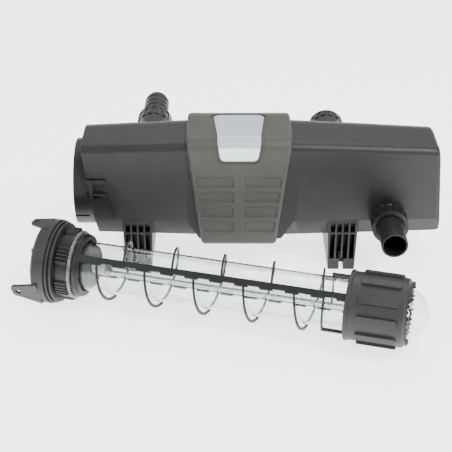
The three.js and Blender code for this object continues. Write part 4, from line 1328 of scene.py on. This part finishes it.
def endRing():
    r = rotor
    end = r["ringStart"] + r["ringLength"]
    return turned(softened([
        (r["ringStart"], r["ringInner"], 0.6),
        (r["ringStart"], r["ringRadius"], 2),
        (end - 3.5, r["ringRadius"], 0.8),
        (end - 3.5, r["ringRadius"] - 1.6, 0.5),
        (end, r["ringRadius"] - 1.6, 0.8),
        (end, r["ringInner"], 0.6),
    ], 4), unitPlace, 128)


def bentStrip(start, advance, first, last, width, thick, height=0.0, steps=72):
    # rounded strip round the axis; thick follows the radius, width the axis
    shape = softened([(-width / 2, 0, 0.9), (width / 2, 0, 0.9), (width / 2, thick, 0.9), (-width / 2, thick, 0.9)], 3)
    rings = []
    for k in range(steps + 1):
        angle = first + (last - first) * k / steps
        along = start + advance * (angle - first) / fullTurn
        ring = []
        for a, b in shape:
            radius = rotor["ribInner"] + height + b
            ring.append((along + a, -radius * math.sin(angle), radius * math.cos(angle)))
        rings.append(ring)
    return loft(rings)


def cleaningRibs():
    r = rotor
    trim = (r["barWidth"] / 2 - r["barSeat"]) / r["ribInner"]
    first = math.radians(r["barAngle"]) + trim
    strip = bentStrip(r["ribStart"], r["ribAdvance"], first, first + fullTurn - 2 * trim, r["ribWidth"], r["ribHeight"])
    return repeated(strip, charcoal, r["ribCount"], 0, 0, r["ribPitch"], unitPlace)


addPiece("rotorEndRing", endRing(), charcoalDark, "cleaning_rotor", ["rotor_end_ring"])
addPiece("rotorBarFront", eased(cadCopy("rotor_bar_front"), 0.4), charcoalDark, "cleaning_rotor", ["rotor_bar_front"])
addPiece("rotorBarRear", eased(cadCopy("rotor_bar_rear"), 0.4), charcoalDark, "cleaning_rotor", ["rotor_bar_rear"])
addPiece("cleaningRibs", cleaningRibs(), charcoal, "cleaning_rotor", [f"cleaning_rib_{i}" for i in range(1, 6)])
for end in ("front", "rear"):
    addPiece("turbineLink" + end.title(), eased(cadCopy("turbine_link_" + end), 0.5), charcoal, "cleaning_rotor",
             ["turbine_link_" + end])

turbine = {
    "start": 448,
    "length": 84,
    "radius": 48,
    "wall": 3,
    "lip": 1.5,
    "lipWidth": 5,
    "finCount": 11,
    "finStart": 18,
    "finLength": 55,
    "finRise": 4,
    "finWidth": 11,
    "hub": 38,
    "teeth": 36,
    "toothDepth": 3.8,
    "toothWall": 2.6,
    "mouth": 41.6,
}


def turbineDrum():
    t = turbine
    end = t["start"] + t["length"]
    inner = t["radius"] - t["wall"]
    return turned(softened([
        (t["start"], t["hub"], 0.8),
        (t["start"], t["radius"] + t["lip"], 1.2),
        (t["start"] + t["lipWidth"], t["radius"] + t["lip"], 1.2),
        (t["start"] + t["lipWidth"] + 1, t["radius"], 0.6),
        (end - 4, t["radius"], 2),
        (end, t["radius"] - 4, 1),
        (end, t["mouth"], 0.3),
        (end - 4, t["mouth"], 0.5),
        (end - 4, inner, 2),
        (t["start"] + t["wall"], inner, 2),
        (t["start"] + t["wall"], t["hub"], 0.8),
    ], 4), unitPlace, 128)


def turbineFins():
    t = turbine
    x0 = t["start"] + t["finStart"]
    x1 = x0 + t["finLength"]
    half = t["finWidth"] / 2
    shape = softened([(x0, -half, 1.5), (x1, -half, half * 0.8), (x1, half, half * 0.8), (x0, half, 1.5)], 6)
    fin = plate(shape, t["radius"] - t["wall"] + 1, t["radius"] + t["finRise"], lambda x, y, z: (x, y, z))
    fin = eased(fin, 0.9, 3)
    return repeated(fin, charcoalPaintedLight, t["finCount"], 360 / t["finCount"], rotor["barAngle"], 0, unitPlace)


def turbineTeeth():
    # saw teeth standing on the drum's end, each a little different
    t = turbine
    end = t["start"] + t["length"]
    sides = t["teeth"] * 16
    tips = []
    for k in range(sides):
        number, step = divmod(k, 16)
        share = step / 16
        rise = share / 0.62 if share < 0.62 else (1 - share) / 0.38
        tips.append(end + t["toothDepth"] * rise * (0.8 + 0.2 * math.sin(number * 2.4)))
    rings = []
    for radius, high in ((t["mouth"], False), (t["mouth"], True), (t["mouth"] + t["toothWall"], True),
                         (t["mouth"] + t["toothWall"], False)):
        ring = []
        for k in range(sides):
            angle = fullTurn * k / sides
            x = tips[k] if high else end - 0.5
            ring.append((x, -radius * math.sin(angle), radius * math.cos(angle)))
        rings.append(ring)
    return loft(rings, unitPlace, loop=True)


addPiece("turbineDrum", turbineDrum(), charcoalPaintedLight, "cleaning_rotor", ["turbine_wheel"])
addPiece("turbineFins", turbineFins(), charcoalPaintedLight, "cleaning_rotor")
addPiece("turbineTeeth", turbineTeeth(), charcoal, "cleaning_rotor")
print("rotor made")
